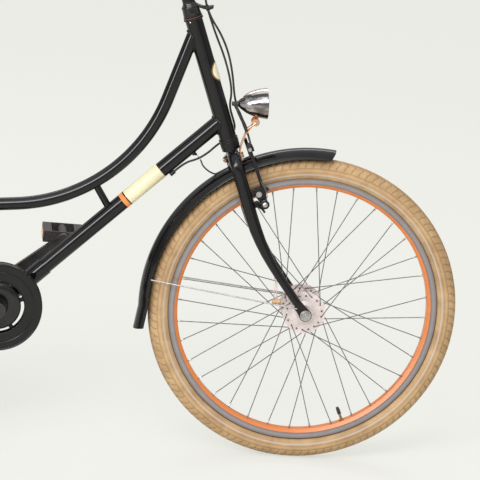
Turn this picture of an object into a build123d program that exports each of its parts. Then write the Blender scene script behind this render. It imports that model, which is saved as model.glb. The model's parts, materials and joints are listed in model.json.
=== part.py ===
"""Child's step-through city bicycle on 26 inch wheels, built as separate pieces on eight bodies.

All sizes are millimetres.  +X is forwards, +Y is the rider's left, +Z is up, and the floor is Z = 0.
Inside this script X = 0 is the front axle; write() then moves every piece by ORIGIN_SHIFT, so that the
stored origin is on the floor, midway between the foremost and the rearmost point.  Places on the fork,
the headlamp and the bars are steering places: ahead of, left of and along the steering axis, counted from
the foot of the perpendicular that the front axle drops on that axis.
"""
import os
from math import acos, asin, atan2, cos, hypot, pi, radians, sin, sqrt, tan

from build123d import *

os.makedirs("parts", exist_ok=True)

# ---------------------------------------------------------------- driving dimensions
RUNNING_FIT = 0.05            # radial clearance of every shaft in its bearing
SEAT_GAP = 0.3                # clearance between curved pieces that rest on each other

RIM_RADIUS = 284.0            # top of the rim's side walls
RIM_WIDTH = 26.0
RIM_DEPTH = 20.0
RIM_TRACK = 13.0              # height of the braking track
RIM_INNER_WIDTH = 17.0
RIM_WALL = 1.6
RIM_WELL = 10.0               # depth of the tyre bed below the side walls
TYRE_HEIGHT = 41.5            # crown of a 47-559 tyre above the side walls
TYRE_WIDTH = 47.0
TYRE_WALL = 4.0
TYRE_FACETS = 6               # flats round the tyre's section

FRONT_CENTRE = 640.0          # front axle to bottom bracket, along the floor
REAR_CENTRE = 455.0           # bottom bracket to rear axle, along the floor
BRACKET_DROP = 27.5           # bottom bracket below the axles
HEAD_ANGLE = 68.3             # steering axis above the floor line, in degrees
FORK_OFFSET = 50.4            # front axle ahead of the steering axis
HEAD_TUBE_LENGTH = 262.0
HEAD_TUBE_RADIUS = 18.0
HEAD_TUBE_BORE = 15.5
SEAT_ANGLE = 70.0             # seat tube above the floor line, in degrees
SEAT_TUBE_LENGTH = 375.0
SEAT_TUBE_RADIUS = 15.9
SEAT_TUBE_FLOOR = 120.0       # bottom of the seat tube's bore, from the bottom bracket
SEAT_POST_RADIUS = 12.7
SEAT_POST_TOP = 520.0         # top of the post, along the seat tube from the bottom bracket
SEAT_POST_INSERTION = 80.0
SADDLE_RISE = 28.5            # saddle's underside above the post's top
# the saddle's sections: ahead of the post's top, width and height
SADDLE_STATIONS = [(118.0, 40.0, 26.0), (60.0, 56.0, 36.0), (0.0, 92.0, 44.0), (-60.0, 170.0, 50.0),
                   (-105.0, 200.0, 52.0), (-138.0, 150.0, 42.0)]
SEAT_COLLAR_HEIGHT = 14.0
SEAT_COLLAR_WALL = 3.5

DOWN_TUBE_RADIUS = 16.4
DOWN_TUBE_RISE = 42.7         # down tube's line on the steering axis, above the head tube's foot
DOWN_TUBE_PASS = 11.5         # down tube's line passes this far below the bottom bracket
TOP_TUBE_RADIUS = 13.3
TOP_TUBE_FALL = 20.0          # top tube's line on the steering axis, below the head tube's top
TOP_TUBE_CORNER = (249.9, 232.7)   # where its straights would meet, ahead of and above the bracket
TOP_TUBE_SEAT_JOINT = 208.0   # top tube's line on the seat tube, from the bottom bracket
TOP_TUBE_BEND = 341.0         # radius of the swoop
BRACE_RADIUS = 7.5
BRACE_FROM_HEAD = 300.0       # along the down tube, from the head tube's axis
BRACE_ANGLE = 56.2            # brace above the floor line, in degrees
BRACE_REACH = 160.0           # long enough to cross the top tube before it is trimmed
SLEEVE_RADIUS = 18.4
SLEEVE_START = 78.0           # sleeve on the down tube, from the bottom bracket
SLEEVE_LENGTH = 44.0

BRACKET_RADIUS = 22.0
BRACKET_WIDTH = 72.0
STAY_RADIUS = 9.5             # chain stays
STAY_SPREAD = 44.0            # chain stays from the centre plane ahead of the tyre
STAY_BEND = 300.0
STAY_SHOULDER = (-110.0, 6.0)   # where the stays bend outwards, ahead of and above the bracket
SEAT_STAY_RADIUS = 7.0
SEAT_STAY_SPREAD = 45.0
SEAT_STAY_FOOT = (12.0, 22.0)   # seat stay's foot on the dropout, from the axle
SEAT_STAY_DROP = 30.0         # seat stays meet the seat tube this far below its top
BRIDGE_RADIUS = 6.0           # cross tube that carries the rear mudguard
DROPOUT_THICKNESS = 5.0
REAR_WIDTH = 130.0            # between the rear dropouts
RACK_EYE = (-17.0, -12.0)     # spare threaded eyelet in each rear dropout, from the axle
RACK_EYE_RADIUS = 2.5
FRONT_WIDTH = 100.0           # between the fork ends

CROWN_GAP = 16.0              # middle of the crown above the mudguard's crown line
CROWN_RACE = 36.0             # head tube's foot above the middle of the crown
CROWN_DROP = 34.0             # blades turn inwards this far below the crown
CROWN_BEND = 26.0
STEERER_RADIUS = 12.7
BLADE_TOP_RADIUS = 13.2
BLADE_END_RADIUS = 9.0
BLADE_TAPER = (215.0, 110.0)  # blades taper between these places along the steering axis
BLADE_SPREAD = 47.5           # middle of each blade from the centre plane
BLADE_BEND_HEIGHT = 165.0     # where the blades turn forwards, along the steering axis
BLADE_BEND_RADIUS = 480.0
BLADE_END_GAP = 34.0          # blade's lower end above the axle
BEND_STEPS = 5
BOLT_DROP = 5.0               # bolt through the crown, below its middle
BOLT_RADIUS = 3.0
BOLT_FACE = 15.0              # flat bosses ahead of and behind the crown
BOLT_BOSS_RADIUS = 7.5
EYELET = (-13.0, 20.6)        # mudguard eyelet, ahead of and along the steering axis from the axle

AXLE_RADIUS = 5.0
WASHER_RADIUS = 11.5
WASHER_THICKNESS = 1.5
NUT_RADIUS = 9.5
NUT_HEIGHT = 9.0
AXLE_STUB = 8.0               # axle outside its nuts
SPACER_RADIUS = 8.0
FRONT_FLANGE_RADIUS = 45.0
FRONT_FLANGE_HALF = 31.0      # middle of each flange from the centre plane
FRONT_HUB_RADIUS = 30.0
REAR_FLANGE_RADIUS = 43.0
REAR_FLANGE_HALF = 27.0
REAR_HUB_RADIUS = 34.0
HUB_NECK_SHARE = 0.6          # hub's outer necks against its barrel
FLANGE_THICKNESS = 3.4
HUB_END_INSET = 10.0          # hub shell short of the carrying plates
SPOKE_COUNT = 36
SPOKE_CROSSES = 3
SPOKE_RADIUS = 1.0
SPOKE_CIRCLE_INSET = 8.0      # hole circle inside the flange's edge
SPOKE_FACE_GAP = 0.4          # spoke clear of the flange's face
SPOKE_SWING = 0.92            # share of the crossing angle that each spoke really turns
NIPPLE_OFFSET = 2.5           # spoke's outer end from the centre plane

MUDGUARD_GAP = 20.5           # mudguard's crown line above the tyre
MUDGUARD_WIDTH = 60.0
MUDGUARD_DEPTH = 17.0
MUDGUARD_WALL = 1.5
FRONT_GUARD_ARC = (84.5, 183.0)
REAR_GUARD_ARC = (12.0, 188.0)
GUARD_SLANT = 10.0            # side edges of the front end stop this far short of its crown
FLAP_LEAN = 7.0               # front mudguard's foot flares this far from plumb, in degrees
FLAP_CROWN = 49.5             # length of the flared foot along its crown
FLAP_EDGE = 44.0              # and along its side edges
GUARD_TAB = (16.0, 2.0)       # width and thickness of the tab that hangs the guard on the crown bolt
GUARD_WIRE_RADIUS = 1.6
WIRE_CLEARANCE = 0.8          # each wire's foot outside its carrying plate
FRONT_WIRE_ANGLES = (172,)
REAR_WIRE_ANGLES = (158, 115)
REAR_WIRE_EYE = (-14.0, 6.0)  # foot of the rear wires, from the axle

CASE_RADIUS = 92.0            # chain case round the chainwheel
CASE_REAR_RADIUS = 52.0
CASE_OPENING = 56.0
CASE_REAR_OPENING = 24.0
CASE_INNER_Y = 46.0
CASE_OUTER_Y = 66.0
CASE_WALL = 2.0
CASE_RIDGE = (15.0, 3.0, 1.2)   # raised bead: inset from the edge, width and height
CHAIN_LINE = 55.0             # middle of the chainwheel from the centre plane
CHAINWHEEL_DISC = 49.0
CHAINWHEEL_RING = (68.0, 76.0)
CHAINWHEEL_ARMS = 5

CRANK_LENGTH = 175.0
CRANK_ANGLE = 41.0            # left crank at rest, above the forward floor line, in degrees
CRANK_INNER_Y = 78.0
CRANK_THICKNESS = 13.0
CRANK_EYES = (17.0, 12.5)     # radius of the arm's end at the axle and at the pedal
SPINDLE_RADIUS = 8.0
PEDAL_INNER_Y = 101.0
PEDAL_WIDTH = 78.0
PEDAL_LENGTH = 84.0
PEDAL_THICKNESS = 24.0
PEDAL_SPINDLE_RADIUS = 5.0
PEDAL_BARREL_RADIUS = 11.0
PEDAL_TREAD = 18.0            # length of each tread block
PEDAL_CAGE = 4.0

STAND_BACK = 70.0             # stand's pivot behind the bottom bracket
STAND_DROP = 66.0             # and below it
STAND_PIN_RADIUS = 9.0
STAND_PLATE = (46.0, 84.0, 6.0)   # plate between the chain stays
STAND_LUG = (34.0, 17.0)      # bracket's length and the radius of its foot
STAND_LEG_RADIUS = 8.0
STAND_LEAN = 6.0              # legs lean forwards past upright, in degrees
STAND_NECK = 28.0             # legs' distance from the centre plane beside the pivot
STAND_NECK_LENGTH = 72.0
STAND_SPREAD = 118.0          # feet from the centre plane
STAND_FOOT_RADIUS = 13.0
STAND_FOOT_HEIGHT = 20.0

LAMP_RADIUS = 32.0
LAMP_LENGTH = 61.5
LAMP_BULGE = ((11.5, 4.2), (21.5, 16.5), (29.5, 37.3))   # outline: radius against place from the tip
LAMP_TILT = 17.3              # lamp points this far below square to the steering axis, in degrees
LAMP_TIP = (38.9, 101.2)      # rear tip, ahead of the steering axis and above the crown
LAMP_WALL = 2.0
LAMP_RECESS = 8.0             # depth of the seat that holds the lens
LENS_THICKNESS = 5.0
LAMP_BOSS = (4.5, 12.0)       # radius and length of the boss behind the tip
LAMP_EYE = (37.7, 37.2)       # eye that carries the lamp: along its axis, and below that
LAMP_EYE_RADIUS = 5.0
LAMP_EYE_TONGUE = 8.0         # width of the lamp's tongue in that eye
LAMP_ARM_WIDTH = 10.0
BRACKET_STRIP = (16.0, 2.5)   # width and thickness of the headlamp's strip
STRIP_BEND = 6.0

PAD_AHEAD = 28.0              # brake pads, ahead of the steering axis
PAD_SIZE = (48.0, 8.0, 10.0)
PAD_GAP = 2.0                 # pads clear of the rim
PAD_INSET = 2.2               # middle of the pads inside the middle of the braking track
BRAKE_SPREAD = 42.0           # brake bosses from the centre plane
BRAKE_PIVOT = (33.4, 19.0)    # arm's pivot ahead of the steering axis, and below the pads
BRAKE_BOSS_RADIUS = 5.0
BRAKE_HUB = (9.0, 11.0)       # radius and length of the arm's hub
BRAKE_ARM_TOP = (35.0, 12.0)  # upper end, ahead of the steering axis and above the crown
BRAKE_ARM_THICKNESS = 11.0
BRAKE_LINK_RADIUS = 2.5
BRAKE_BLOCK = (9.0, 14.0, 9.0)  # cable holder in the middle of the link

BAR_RADIUS = 11.1
BAR_RISE = 110.0              # middle of the bar's clamp above the head tube
BAR_REACH = 52.0
BAR_MIDDLE = 50.0             # half of the bar's straight middle
BAR_LIFT = (6.0, 128.0, 34.0)   # first corner: ahead of, beside and above the clamp
BAR_SHOULDER = (-58.0, 236.0, 42.0)   # second corner, counted likewise
BAR_SWEEP = (-250.0, 8.0)     # bar's end, ahead of and above the clamp
BAR_BENDS = (60.0, 45.0, 60.0)  # radii from the grip inwards
BAR_HALF_WIDTH = 272.0
GRIP_RADIUS = 16.0
GRIP_LENGTH = 128.0
GRIP_END = 4.0
QUILL_SLEEVE = (12.7, 26.0, 45.0)   # radius, length and middle above the cap's foot
CLAMP_RADIUS = 17.0
CLAMP_WIDTH = 38.0
LEVER_BACK = 14.0             # lever's clamp inboard of the grip
LEVER_CLAMP_RADIUS = 15.5
LEVER_RADIUS = 4.2
CUP_HEIGHT = 6.0
CUP_RADIUS = 19.5
CAP_OUTLINE = ((18.0, 0.0), (17.5, 12.0), (13.5, 26.0), (12.7, 32.0))   # radius against height
GUIDE_RING = (16.0, 22.0, 2.5)    # foot, top and wall of the cable guide's ring on the cap
GUIDE_TONGUE = ((17.0, 18.5, 3.0), (46.3, -3.9, 4.5))   # its two ends: ahead, above the foot, radius
GUIDE_WIDTH = 19.0
GUIDE_EYE = 33.4              # eyes for the cables, ahead of the steering axis
GUIDE_EYE_SPREAD = 4.5
GUIDE_PLAY = 0.8

CARRIER_GAP = 40.5            # deck above the rear mudguard
CARRIER_RADIUS = 5.0
CARRIER_HALF_WIDTH = 60.0
CARRIER_LENGTH = 370.0
CARRIER_AHEAD = 175.0         # front of the deck, ahead of the rear axle

CABLE_RADIUS = 2.25
CABLE_TIGHTEST = 5            # smallest bend of a cable, in its own diameters
# steering places of the front brake's cable, from the right lever down to the brake's link
FRONT_CABLE = [
    (-12.1, -246.2, 807.7), (30, -244, 791), (72, -225, 775), (100, -183, 765), (106, -130, 760),
    (92, -78, 756), (66, -36, 744), (42, -12, 722), (32.6, -4.5, 690), (34.3, -4.5, 653),
    (45.5, -3.5, 614), (49.8, 1, 570), (46, 8, 524), (37, 13, 478), (35.5, 14.5, 446),
    (40, 14, 411), (42.8, 8.5, 389), (40.7, 0, 368.4),
]
# the rear brake's cable from the left lever, as far as it turns with the fork
REAR_CABLE_FRONT = [
    (-12.1, 246.2, 807.7), (30, 245, 790.5), (73, 227, 772), (103, 186, 760), (110, 132, 753),
    (97, 79, 749), (69, 36, 737), (44, 12, 718), (33, 4.5, 687), (33.5, 4.5, 652),
    (35.2, 4.5, 612), (39.3, 4.8, 568), (38.8, 6, 523), (34, 9, 487), (21.5, 17, 460), (21.5, 17, 434),
]
# and on past the head tube to its stop under the down tube
REAR_CABLE_BACK = [
    (21.5, 17, 433.5), (21.5, 17, 414), (13, 25.5, 399), (-7, 28, 391), (-27, 21, 386),
    (-48, 13, 378), (-72, 7, 373), (-100, 2, 375.2), (-125, 0, 364.3),
]
CABLE_STOP = (4.5, 12.0)      # radius and length of the stop under the down tube

SPRING_RADIUS = 4.0           # sleeve over the spring that steadies the steering
SPRING_HOOK_RADIUS = 1.2
SPRING_BAND = (90.5, 9.0, 2.0)  # band on the down tube: from the head tube's axis, width and wall
# the spring's route, ahead of and left of the steering axis and above the middle of the crown
SPRING_TOP = [(-75.5, 0, 26.5), (-66.3, 0, 9), (-65.3, 0, -0.4)]
SPRING_FOOT = [(-65.2, 0, -0.8), (-65, 0, -11.5), (-59.5, 0, -20), (-49, 0, -25.6)]
SPRING_CLIP = (-38.5, 20.0, 12.0, 2.0)   # clip on the guard: place ahead, length, width, thickness

# ---------------------------------------------------------------- reference points
TYRE_RADIUS = RIM_RADIUS + TYRE_HEIGHT
RIM_INNER_RADIUS = RIM_RADIUS - RIM_DEPTH
MUDGUARD_RADIUS = TYRE_RADIUS + MUDGUARD_GAP
MUDGUARD_EDGE = MUDGUARD_RADIUS - MUDGUARD_DEPTH
WHEELBASE = FRONT_CENTRE + REAR_CENTRE
FRONT_AXLE = Vector(0, 0, TYRE_RADIUS)
REAR_AXLE = Vector(-WHEELBASE, 0, TYRE_RADIUS)
BRACKET = Vector(-FRONT_CENTRE, 0, TYRE_RADIUS - BRACKET_DROP)
ORIGIN_SHIFT = (WHEELBASE + MUDGUARD_RADIUS - TYRE_RADIUS) / 2

HEAD_COS, HEAD_SIN = cos(radians(HEAD_ANGLE)), sin(radians(HEAD_ANGLE))
STEER_FOOT = FRONT_AXLE - FORK_OFFSET * Vector(HEAD_SIN, 0, HEAD_COS)
STEER = Plane(origin=STEER_FOOT, x_dir=(HEAD_SIN, 0, HEAD_COS), z_dir=(-HEAD_COS, 0, HEAD_SIN))
CROWN_HEIGHT = MUDGUARD_RADIUS + CROWN_GAP
BOLT_HEIGHT = CROWN_HEIGHT - BOLT_DROP
HEAD_TUBE_FOOT = CROWN_HEIGHT + CROWN_RACE
HEAD_TUBE_TOP = HEAD_TUBE_FOOT + HEAD_TUBE_LENGTH
CAP_FOOT = HEAD_TUBE_TOP + CUP_HEIGHT + SEAT_GAP
SEAT_DIRECTION = Vector(-cos(radians(SEAT_ANGLE)), 0, sin(radians(SEAT_ANGLE)))
SEAT_TUBE_TOP = BRACKET + SEAT_TUBE_LENGTH * SEAT_DIRECTION


def steer(x, y, z):
    """A point given ahead of, left of and along the steering axis, in the bicycle's frame."""
    return STEER.from_local_coords(Vector(x, y, z))


# the down tube's line runs from the steering axis to just below the bottom bracket
DOWN_TUBE_TOP = steer(0, 0, HEAD_TUBE_FOOT + DOWN_TUBE_RISE)
_to_head = DOWN_TUBE_TOP - BRACKET
_down_angle = atan2(_to_head.Z, _to_head.X) + asin(DOWN_TUBE_PASS / _to_head.length)
DOWN_TUBE_WAY = Vector(cos(_down_angle), 0, sin(_down_angle))
DOWN_TUBE_RUN = sqrt(_to_head.length ** 2 - DOWN_TUBE_PASS ** 2)
DOWN_TUBE_FOOT = DOWN_TUBE_TOP - DOWN_TUBE_RUN * DOWN_TUBE_WAY
TOP_TUBE_LINE = [steer(0, 0, HEAD_TUBE_TOP - TOP_TUBE_FALL),
                 BRACKET + Vector(TOP_TUBE_CORNER[0], 0, TOP_TUBE_CORNER[1]),
                 BRACKET + TOP_TUBE_SEAT_JOINT * SEAT_DIRECTION]


# ---------------------------------------------------------------- shape helpers
def rod(start, end, radius):
    """A round bar between two points."""
    run = Vector(*end) - Vector(*start)
    return extrude(Plane(origin=start, z_dir=run) * Circle(radius), run.length)


def pipe(start, end, radius, bore):
    """A round tube between two points."""
    run = Vector(*end) - Vector(*start)
    return extrude(Plane(origin=start, z_dir=run) * (Circle(radius) - Circle(bore)), run.length)


def bent_rod(points, bend, radius):
    """A round bar along straight runs joined by arcs; bend is one radius or one for each corner."""
    path = FilletPolyline(*points, radius=bend)
    return sweep(Plane(origin=path @ 0, z_dir=path % 0) * Circle(radius), path)


def widest_bend(points, bend):
    """The wanted bend radius, or the largest that the straight runs leave room for."""
    runs = [points[k + 1] - points[k] for k in range(len(points) - 1)]
    rooms = [0.9 * min(a.length, b.length) / tan(radians(a.get_angle(b)) / 2) for a, b in zip(runs, runs[1:])]
    return min(bend, *rooms)


def tapered_rod(stations):
    """A smooth bar through round sections, each given as a point, a direction and a radius."""
    sections = [Plane(origin=point, x_dir=(0, 1, 0), z_dir=way) * Circle(radius)
                for point, way, radius in stations]
    return loft(sections, ruled=True)


def ring(inner, outer, low, high):
    """A ring about the Y axis between two radii and two values of Y."""
    profile = Polyline((inner, low), (outer, low), (outer, high), (inner, high), close=True)
    return revolve(make_face(profile), Axis.Y)


def disc(radius, low, high):
    """A disc about the Y axis between two values of Y."""
    return Pos(0, (low + high) / 2, 0) * Rot(90, 0, 0) * Cylinder(radius, high - low)


def hull(*circles):
    """The outline that a band drawn tight round circles makes, each given as x, y and radius."""
    edges = ShapeList()
    for x, y, radius in circles:
        edges += (Pos(x, y) * Circle(radius)).edges()
    return make_hull(edges)


def upright(outline, y, thickness):
    """A plate of this thickness in the plane y, its outline drawn as X against Z."""
    return Pos(0, y, 0) * Rot(90, 0, 0) * extrude(outline, thickness / 2, both=True)


def biggest(shape):
    """The largest solid of a shape."""
    return shape.solids().sort_by(SortBy.VOLUME)[-1]


def at(axle, shape):
    """Move a shape made about the origin's Y axis to an axle."""
    return Pos(*axle) * shape


def mirrored(shape):
    """The other side's copy of a shape."""
    return mirror(shape, Plane.XZ)


def both(shape):
    """A shape and its copy on the other side, as one list."""
    return [shape, mirrored(shape)]


PARTS = {}


def write(node, *shapes):
    """Store the solids of one node and write them to its own file."""
    solids = []
    for shape in shapes:
        for item in (shape if isinstance(shape, (list, tuple)) else [shape]):
            solids += item.solids()
    moved = [Pos(ORIGIN_SHIFT, 0, 0) * solid for solid in solids]
    piece = moved[0] if len(moved) == 1 else Compound(children=moved)
    piece.label = node
    PARTS[node] = Compound(children=list(solids)) if len(solids) > 1 else solids[0]
    export_step(piece, f"parts/{node}.step")


# ---------------------------------------------------------------- wheels
def make_tyre():
    """A tyre open towards the rim, in flats, whose edges stand on the rim's side walls."""
    radius = TYRE_WIDTH / 2
    middle = TYRE_RADIUS - radius
    edge = pi - acos((middle - RIM_RADIUS) / radius)
    outer = []
    for k in range(TYRE_FACETS + 1):
        turn = edge * (2 * k / TYRE_FACETS - 1)
        outer.append((middle + radius * cos(turn), radius * sin(turn)))
    bore = radius - TYRE_WALL
    lip = sqrt(bore ** 2 - (middle - RIM_RADIUS) ** 2)
    inner = [(RIM_RADIUS, lip), (middle + bore, 0), (RIM_RADIUS, -lip)]
    return revolve(make_face(Polyline(*outer, *inner, close=True)), Axis.Y)


def make_rim():
    """A rim with upright braking tracks and a narrower inner band."""
    half, band = RIM_WIDTH / 2, RIM_INNER_WIDTH / 2
    lip = half - RIM_WALL
    bed = RIM_RADIUS - RIM_WELL
    side = [(RIM_RADIUS, half), (RIM_RADIUS, lip), (bed + 2, lip), (bed, lip - 4)]
    back = [(RIM_INNER_RADIUS, band), (RIM_RADIUS - RIM_TRACK, half)]
    points = side + [(r, -y) for r, y in reversed(side)]
    points += [(r, -y) for r, y in reversed(back)] + back
    return revolve(make_face(Polyline(*points, close=True)), Axis.Y)


def make_hub(flange_radius, flange_half, body_radius, width):
    """A hub shell with two flanges and a bore that runs on the axle."""
    bore = AXLE_RADIUS + RUNNING_FIT
    face = flange_half + FLANGE_THICKNESS / 2
    back = face - FLANGE_THICKNESS
    neck = body_radius * HUB_NECK_SHARE
    end = width / 2 - HUB_END_INSET
    points = [(bore, 0), (bore, end), (neck, end), (neck, face), (flange_radius, face),
              (flange_radius, back), (body_radius, back), (body_radius, 0)]
    half = revolve(make_face(Polyline(*points, close=True)), Axis.Y)
    return half + mirrored(half)


def make_spokes(flange_radius, flange_half, hub):
    """Crossed spokes: half leave each flange outside it and half inside it, in both directions."""
    per_side = SPOKE_COUNT // 2
    step = 2 * pi / per_side
    circle = flange_radius - SPOKE_CIRCLE_INSET
    reach = RIM_INNER_RADIUS + NIPPLE_OFFSET
    face = FLANGE_THICKNESS / 2 + SPOKE_RADIUS + SPOKE_FACE_GAP
    spokes = []
    for side in (1, -1):
        for k in range(per_side):
            way = 1 if k % 2 else -1
            hub_angle = k * step + (step / 2 if side < 0 else 0)
            rim_angle = hub_angle + way * SPOKE_CROSSES * step * SPOKE_SWING
            across = side * (flange_half + way * face)
            start = (circle * cos(hub_angle), across, circle * sin(hub_angle))
            end = (reach * cos(rim_angle), side * NIPPLE_OFFSET, reach * sin(rim_angle))
            spokes.append(rod(start, end, SPOKE_RADIUS))
    room = disc(RIM_INNER_RADIUS, -REAR_WIDTH, REAR_WIDTH)
    return [(spoke & room) - hub for spoke in spokes]


def make_wheel(name, axle, flange_radius, flange_half, hub_radius, width):
    """Tyre, rim, spokes and hub of one wheel."""
    hub = make_hub(flange_radius, flange_half, hub_radius, width)
    write(f"{name}_tyre", at(axle, make_tyre()))
    write(f"{name}_rim", at(axle, make_rim()))
    write(f"{name}_hub", at(axle, hub))
    write(f"{name}_spokes", [at(axle, spoke) for spoke in make_spokes(flange_radius, flange_half, hub)])


def make_axle(name, axle, width):
    """A fixed axle with a spacer inside, and a washer and a nut outside each carrying plate."""
    face = width / 2 + DROPOUT_THICKNESS
    nut_foot = face + WASHER_THICKNESS
    end = nut_foot + NUT_HEIGHT + AXLE_STUB
    spacer = HUB_END_INSET - 1
    half = disc(AXLE_RADIUS, 0, end)
    half += disc(SPACER_RADIUS, width / 2 - spacer, width / 2)
    half += disc(WASHER_RADIUS, face, nut_foot)
    nut = Plane(origin=(0, nut_foot, 0), z_dir=(0, 1, 0)) * RegularPolygon(NUT_RADIUS, 6)
    half += extrude(nut, NUT_HEIGHT)
    write(name, at(axle, half + mirrored(half)))


# ---------------------------------------------------------------- mudguards
def guard_profile(angle):
    """Cross section of a mudguard at an angle, counted up from the front: an arch of constant wall."""
    half = MUDGUARD_WIDTH / 2
    lip = half - MUDGUARD_WALL
    outer = ThreePointArc((MUDGUARD_EDGE, -half), (MUDGUARD_RADIUS, 0), (MUDGUARD_EDGE, half))
    inner = ThreePointArc((MUDGUARD_EDGE, lip), (MUDGUARD_RADIUS - MUDGUARD_WALL, 0), (MUDGUARD_EDGE, -lip))
    ends = [Line(outer @ 1, inner @ 0), Line(inner @ 1, outer @ 0)]
    return Rot(0, -angle, 0) * make_face([outer, ends[0], inner, ends[1]])


def make_guard(arc):
    """A mudguard about the Y axis, from one angle to another."""
    first, last = arc
    return revolve(guard_profile(first), Axis((0, 0, 0), (0, -1, 0)), last - first)


def cut_guard_front(guard, angle):
    """The guard with its front end cut on the slant, so that its crown reaches furthest."""
    lean = GUARD_SLANT / MUDGUARD_DEPTH
    spare = MUDGUARD_DEPTH
    corners = [(MUDGUARD_RADIUS + spare, -lean * spare), (MUDGUARD_EDGE - spare, GUARD_SLANT + lean * spare),
               (MUDGUARD_EDGE - spare, -2 * spare), (MUDGUARD_RADIUS + spare, -2 * spare)]
    beyond = make_face(Polyline(*corners, close=True))
    return guard - Rot(0, -angle, 0) * upright(beyond, 0, 2 * MUDGUARD_WIDTH)


def make_flap(angle):
    """The mudguard's foot: a straight flared stretch with a slanted end, longest along its crown."""
    lean = radians(FLAP_LEAN)
    way = Vector(-sin(lean), 0, -cos(lean))
    foot = extrude(guard_profile(angle), FLAP_CROWN, dir=way)
    a = radians(angle)
    crown = Vector(MUDGUARD_RADIUS * cos(a), 0, MUDGUARD_RADIUS * sin(a)) + FLAP_CROWN * way
    edge = Vector(MUDGUARD_EDGE * cos(a), 0, MUDGUARD_EDGE * sin(a)) + FLAP_EDGE * way
    slope = edge - crown
    corners = [crown - slope, edge + slope, edge + slope + FLAP_CROWN * way, crown - slope + FLAP_CROWN * way]
    below = make_face(Polyline(*[(p.X, p.Z) for p in corners], close=True))
    return foot - upright(below, 0, 2 * MUDGUARD_WIDTH)


def make_guard_wires(name, axle, width, angles, eye):
    """The wires from one eyelet on each side up to the mudguard's edges."""
    hold = MUDGUARD_WIDTH / 2 + GUARD_WIRE_RADIUS + SEAT_GAP
    out = width / 2 + DROPOUT_THICKNESS + GUARD_WIRE_RADIUS + WIRE_CLEARANCE
    reach = MUDGUARD_EDGE + 1
    wires = []
    for angle in angles:
        a = radians(angle)
        top = (axle.X + reach * cos(a), hold, axle.Z + reach * sin(a))
        wires += both(rod((eye.X, out, eye.Z), top, GUARD_WIRE_RADIUS))
    write(name, wires)


def make_mudguards():
    """Both mudguards, the front one with its tab on the crown bolt, and their wires."""
    first, last = FRONT_GUARD_ARC
    front = cut_guard_front(make_guard(FRONT_GUARD_ARC), first) + make_flap(last)
    tab_width, tab_thickness = GUARD_TAB
    behind = BOLT_FACE + tab_thickness
    foot = sqrt(MUDGUARD_RADIUS ** 2 - (FORK_OFFSET + behind) ** 2) - MUDGUARD_WALL / 2
    top = BOLT_HEIGHT + BOLT_BOSS_RADIUS
    tab = Pos(-behind + tab_thickness / 2, 0, (foot + top) / 2) * Box(tab_thickness, tab_width, top - foot)
    tab -= Pos(0, 0, BOLT_HEIGHT) * Rot(0, 90, 0) * Cylinder(BOLT_RADIUS + RUNNING_FIT, 4 * BOLT_FACE)
    write("front_mudguard", at(FRONT_AXLE, front) + STEER * tab)
    write("rear_mudguard", at(REAR_AXLE, make_guard(REAR_GUARD_ARC)))
    front_eye = steer(FORK_OFFSET + EYELET[0], 0, EYELET[1])
    rear_eye = REAR_AXLE + Vector(REAR_WIRE_EYE[0], 0, REAR_WIRE_EYE[1])
    make_guard_wires("front_mudguard_stays", FRONT_AXLE, FRONT_WIDTH, FRONT_WIRE_ANGLES, front_eye)
    make_guard_wires("rear_mudguard_stays", REAR_AXLE, REAR_WIDTH, REAR_WIRE_ANGLES, rear_eye)


# ---------------------------------------------------------------- frame
def make_frame():
    """The welded frame: head tube, the swooping top tube, down tube, seat tube and stays."""
    head_ends = steer(0, 0, HEAD_TUBE_FOOT), steer(0, 0, HEAD_TUBE_TOP)
    head_core = rod(*head_ends, HEAD_TUBE_RADIUS)
    half_shell = Vector(0, BRACKET_WIDTH / 2, 0)
    shell_ends = BRACKET - half_shell, BRACKET + half_shell
    shell_core = rod(*shell_ends, BRACKET_RADIUS)
    seat_core = rod(BRACKET, SEAT_TUBE_TOP, SEAT_TUBE_RADIUS)
    seat_bore = rod(BRACKET + SEAT_TUBE_FLOOR * SEAT_DIRECTION, SEAT_TUBE_TOP, SEAT_POST_RADIUS + RUNNING_FIT)

    down = rod(DOWN_TUBE_FOOT, DOWN_TUBE_TOP, DOWN_TUBE_RADIUS)
    sleeve_foot = DOWN_TUBE_FOOT + SLEEVE_START * DOWN_TUBE_WAY
    down += rod(sleeve_foot, sleeve_foot + SLEEVE_LENGTH * DOWN_TUBE_WAY, SLEEVE_RADIUS)
    stop_radius, stop_length = CABLE_STOP
    stop_way = (steer(*REAR_CABLE_BACK[-1]) - steer(*REAR_CABLE_BACK[-2])).normalized()
    stop_foot = steer(*REAR_CABLE_BACK[-1])
    down += rod(stop_foot, stop_foot + stop_length * stop_way, stop_radius)
    down = biggest(down - head_core - shell_core - seat_core)

    bend = widest_bend(TOP_TUBE_LINE, TOP_TUBE_BEND)
    top = biggest(bent_rod(TOP_TUBE_LINE, bend, TOP_TUBE_RADIUS) - head_core - seat_core)
    brace_foot = DOWN_TUBE_TOP - BRACE_FROM_HEAD * DOWN_TUBE_WAY
    brace_way = Vector(-cos(radians(BRACE_ANGLE)), 0, sin(radians(BRACE_ANGLE)))
    brace = rod(brace_foot, brace_foot + BRACE_REACH * brace_way, BRACE_RADIUS) - down - top
    stays = make_chain_stays(shell_core, seat_core)

    write("head_tube", pipe(*head_ends, HEAD_TUBE_RADIUS, HEAD_TUBE_BORE))
    write("bottom_bracket", pipe(*shell_ends, BRACKET_RADIUS, SPINDLE_RADIUS + RUNNING_FIT))
    write("seat_tube", seat_core - seat_bore - shell_core)
    write("down_tube", down)
    write("top_tube", top)
    write("cross_brace", brace.solids().sort_by_distance(brace_foot)[0])
    write("chain_stays", stays)
    write("seat_stays", make_seat_stays(seat_core, stays))


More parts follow.
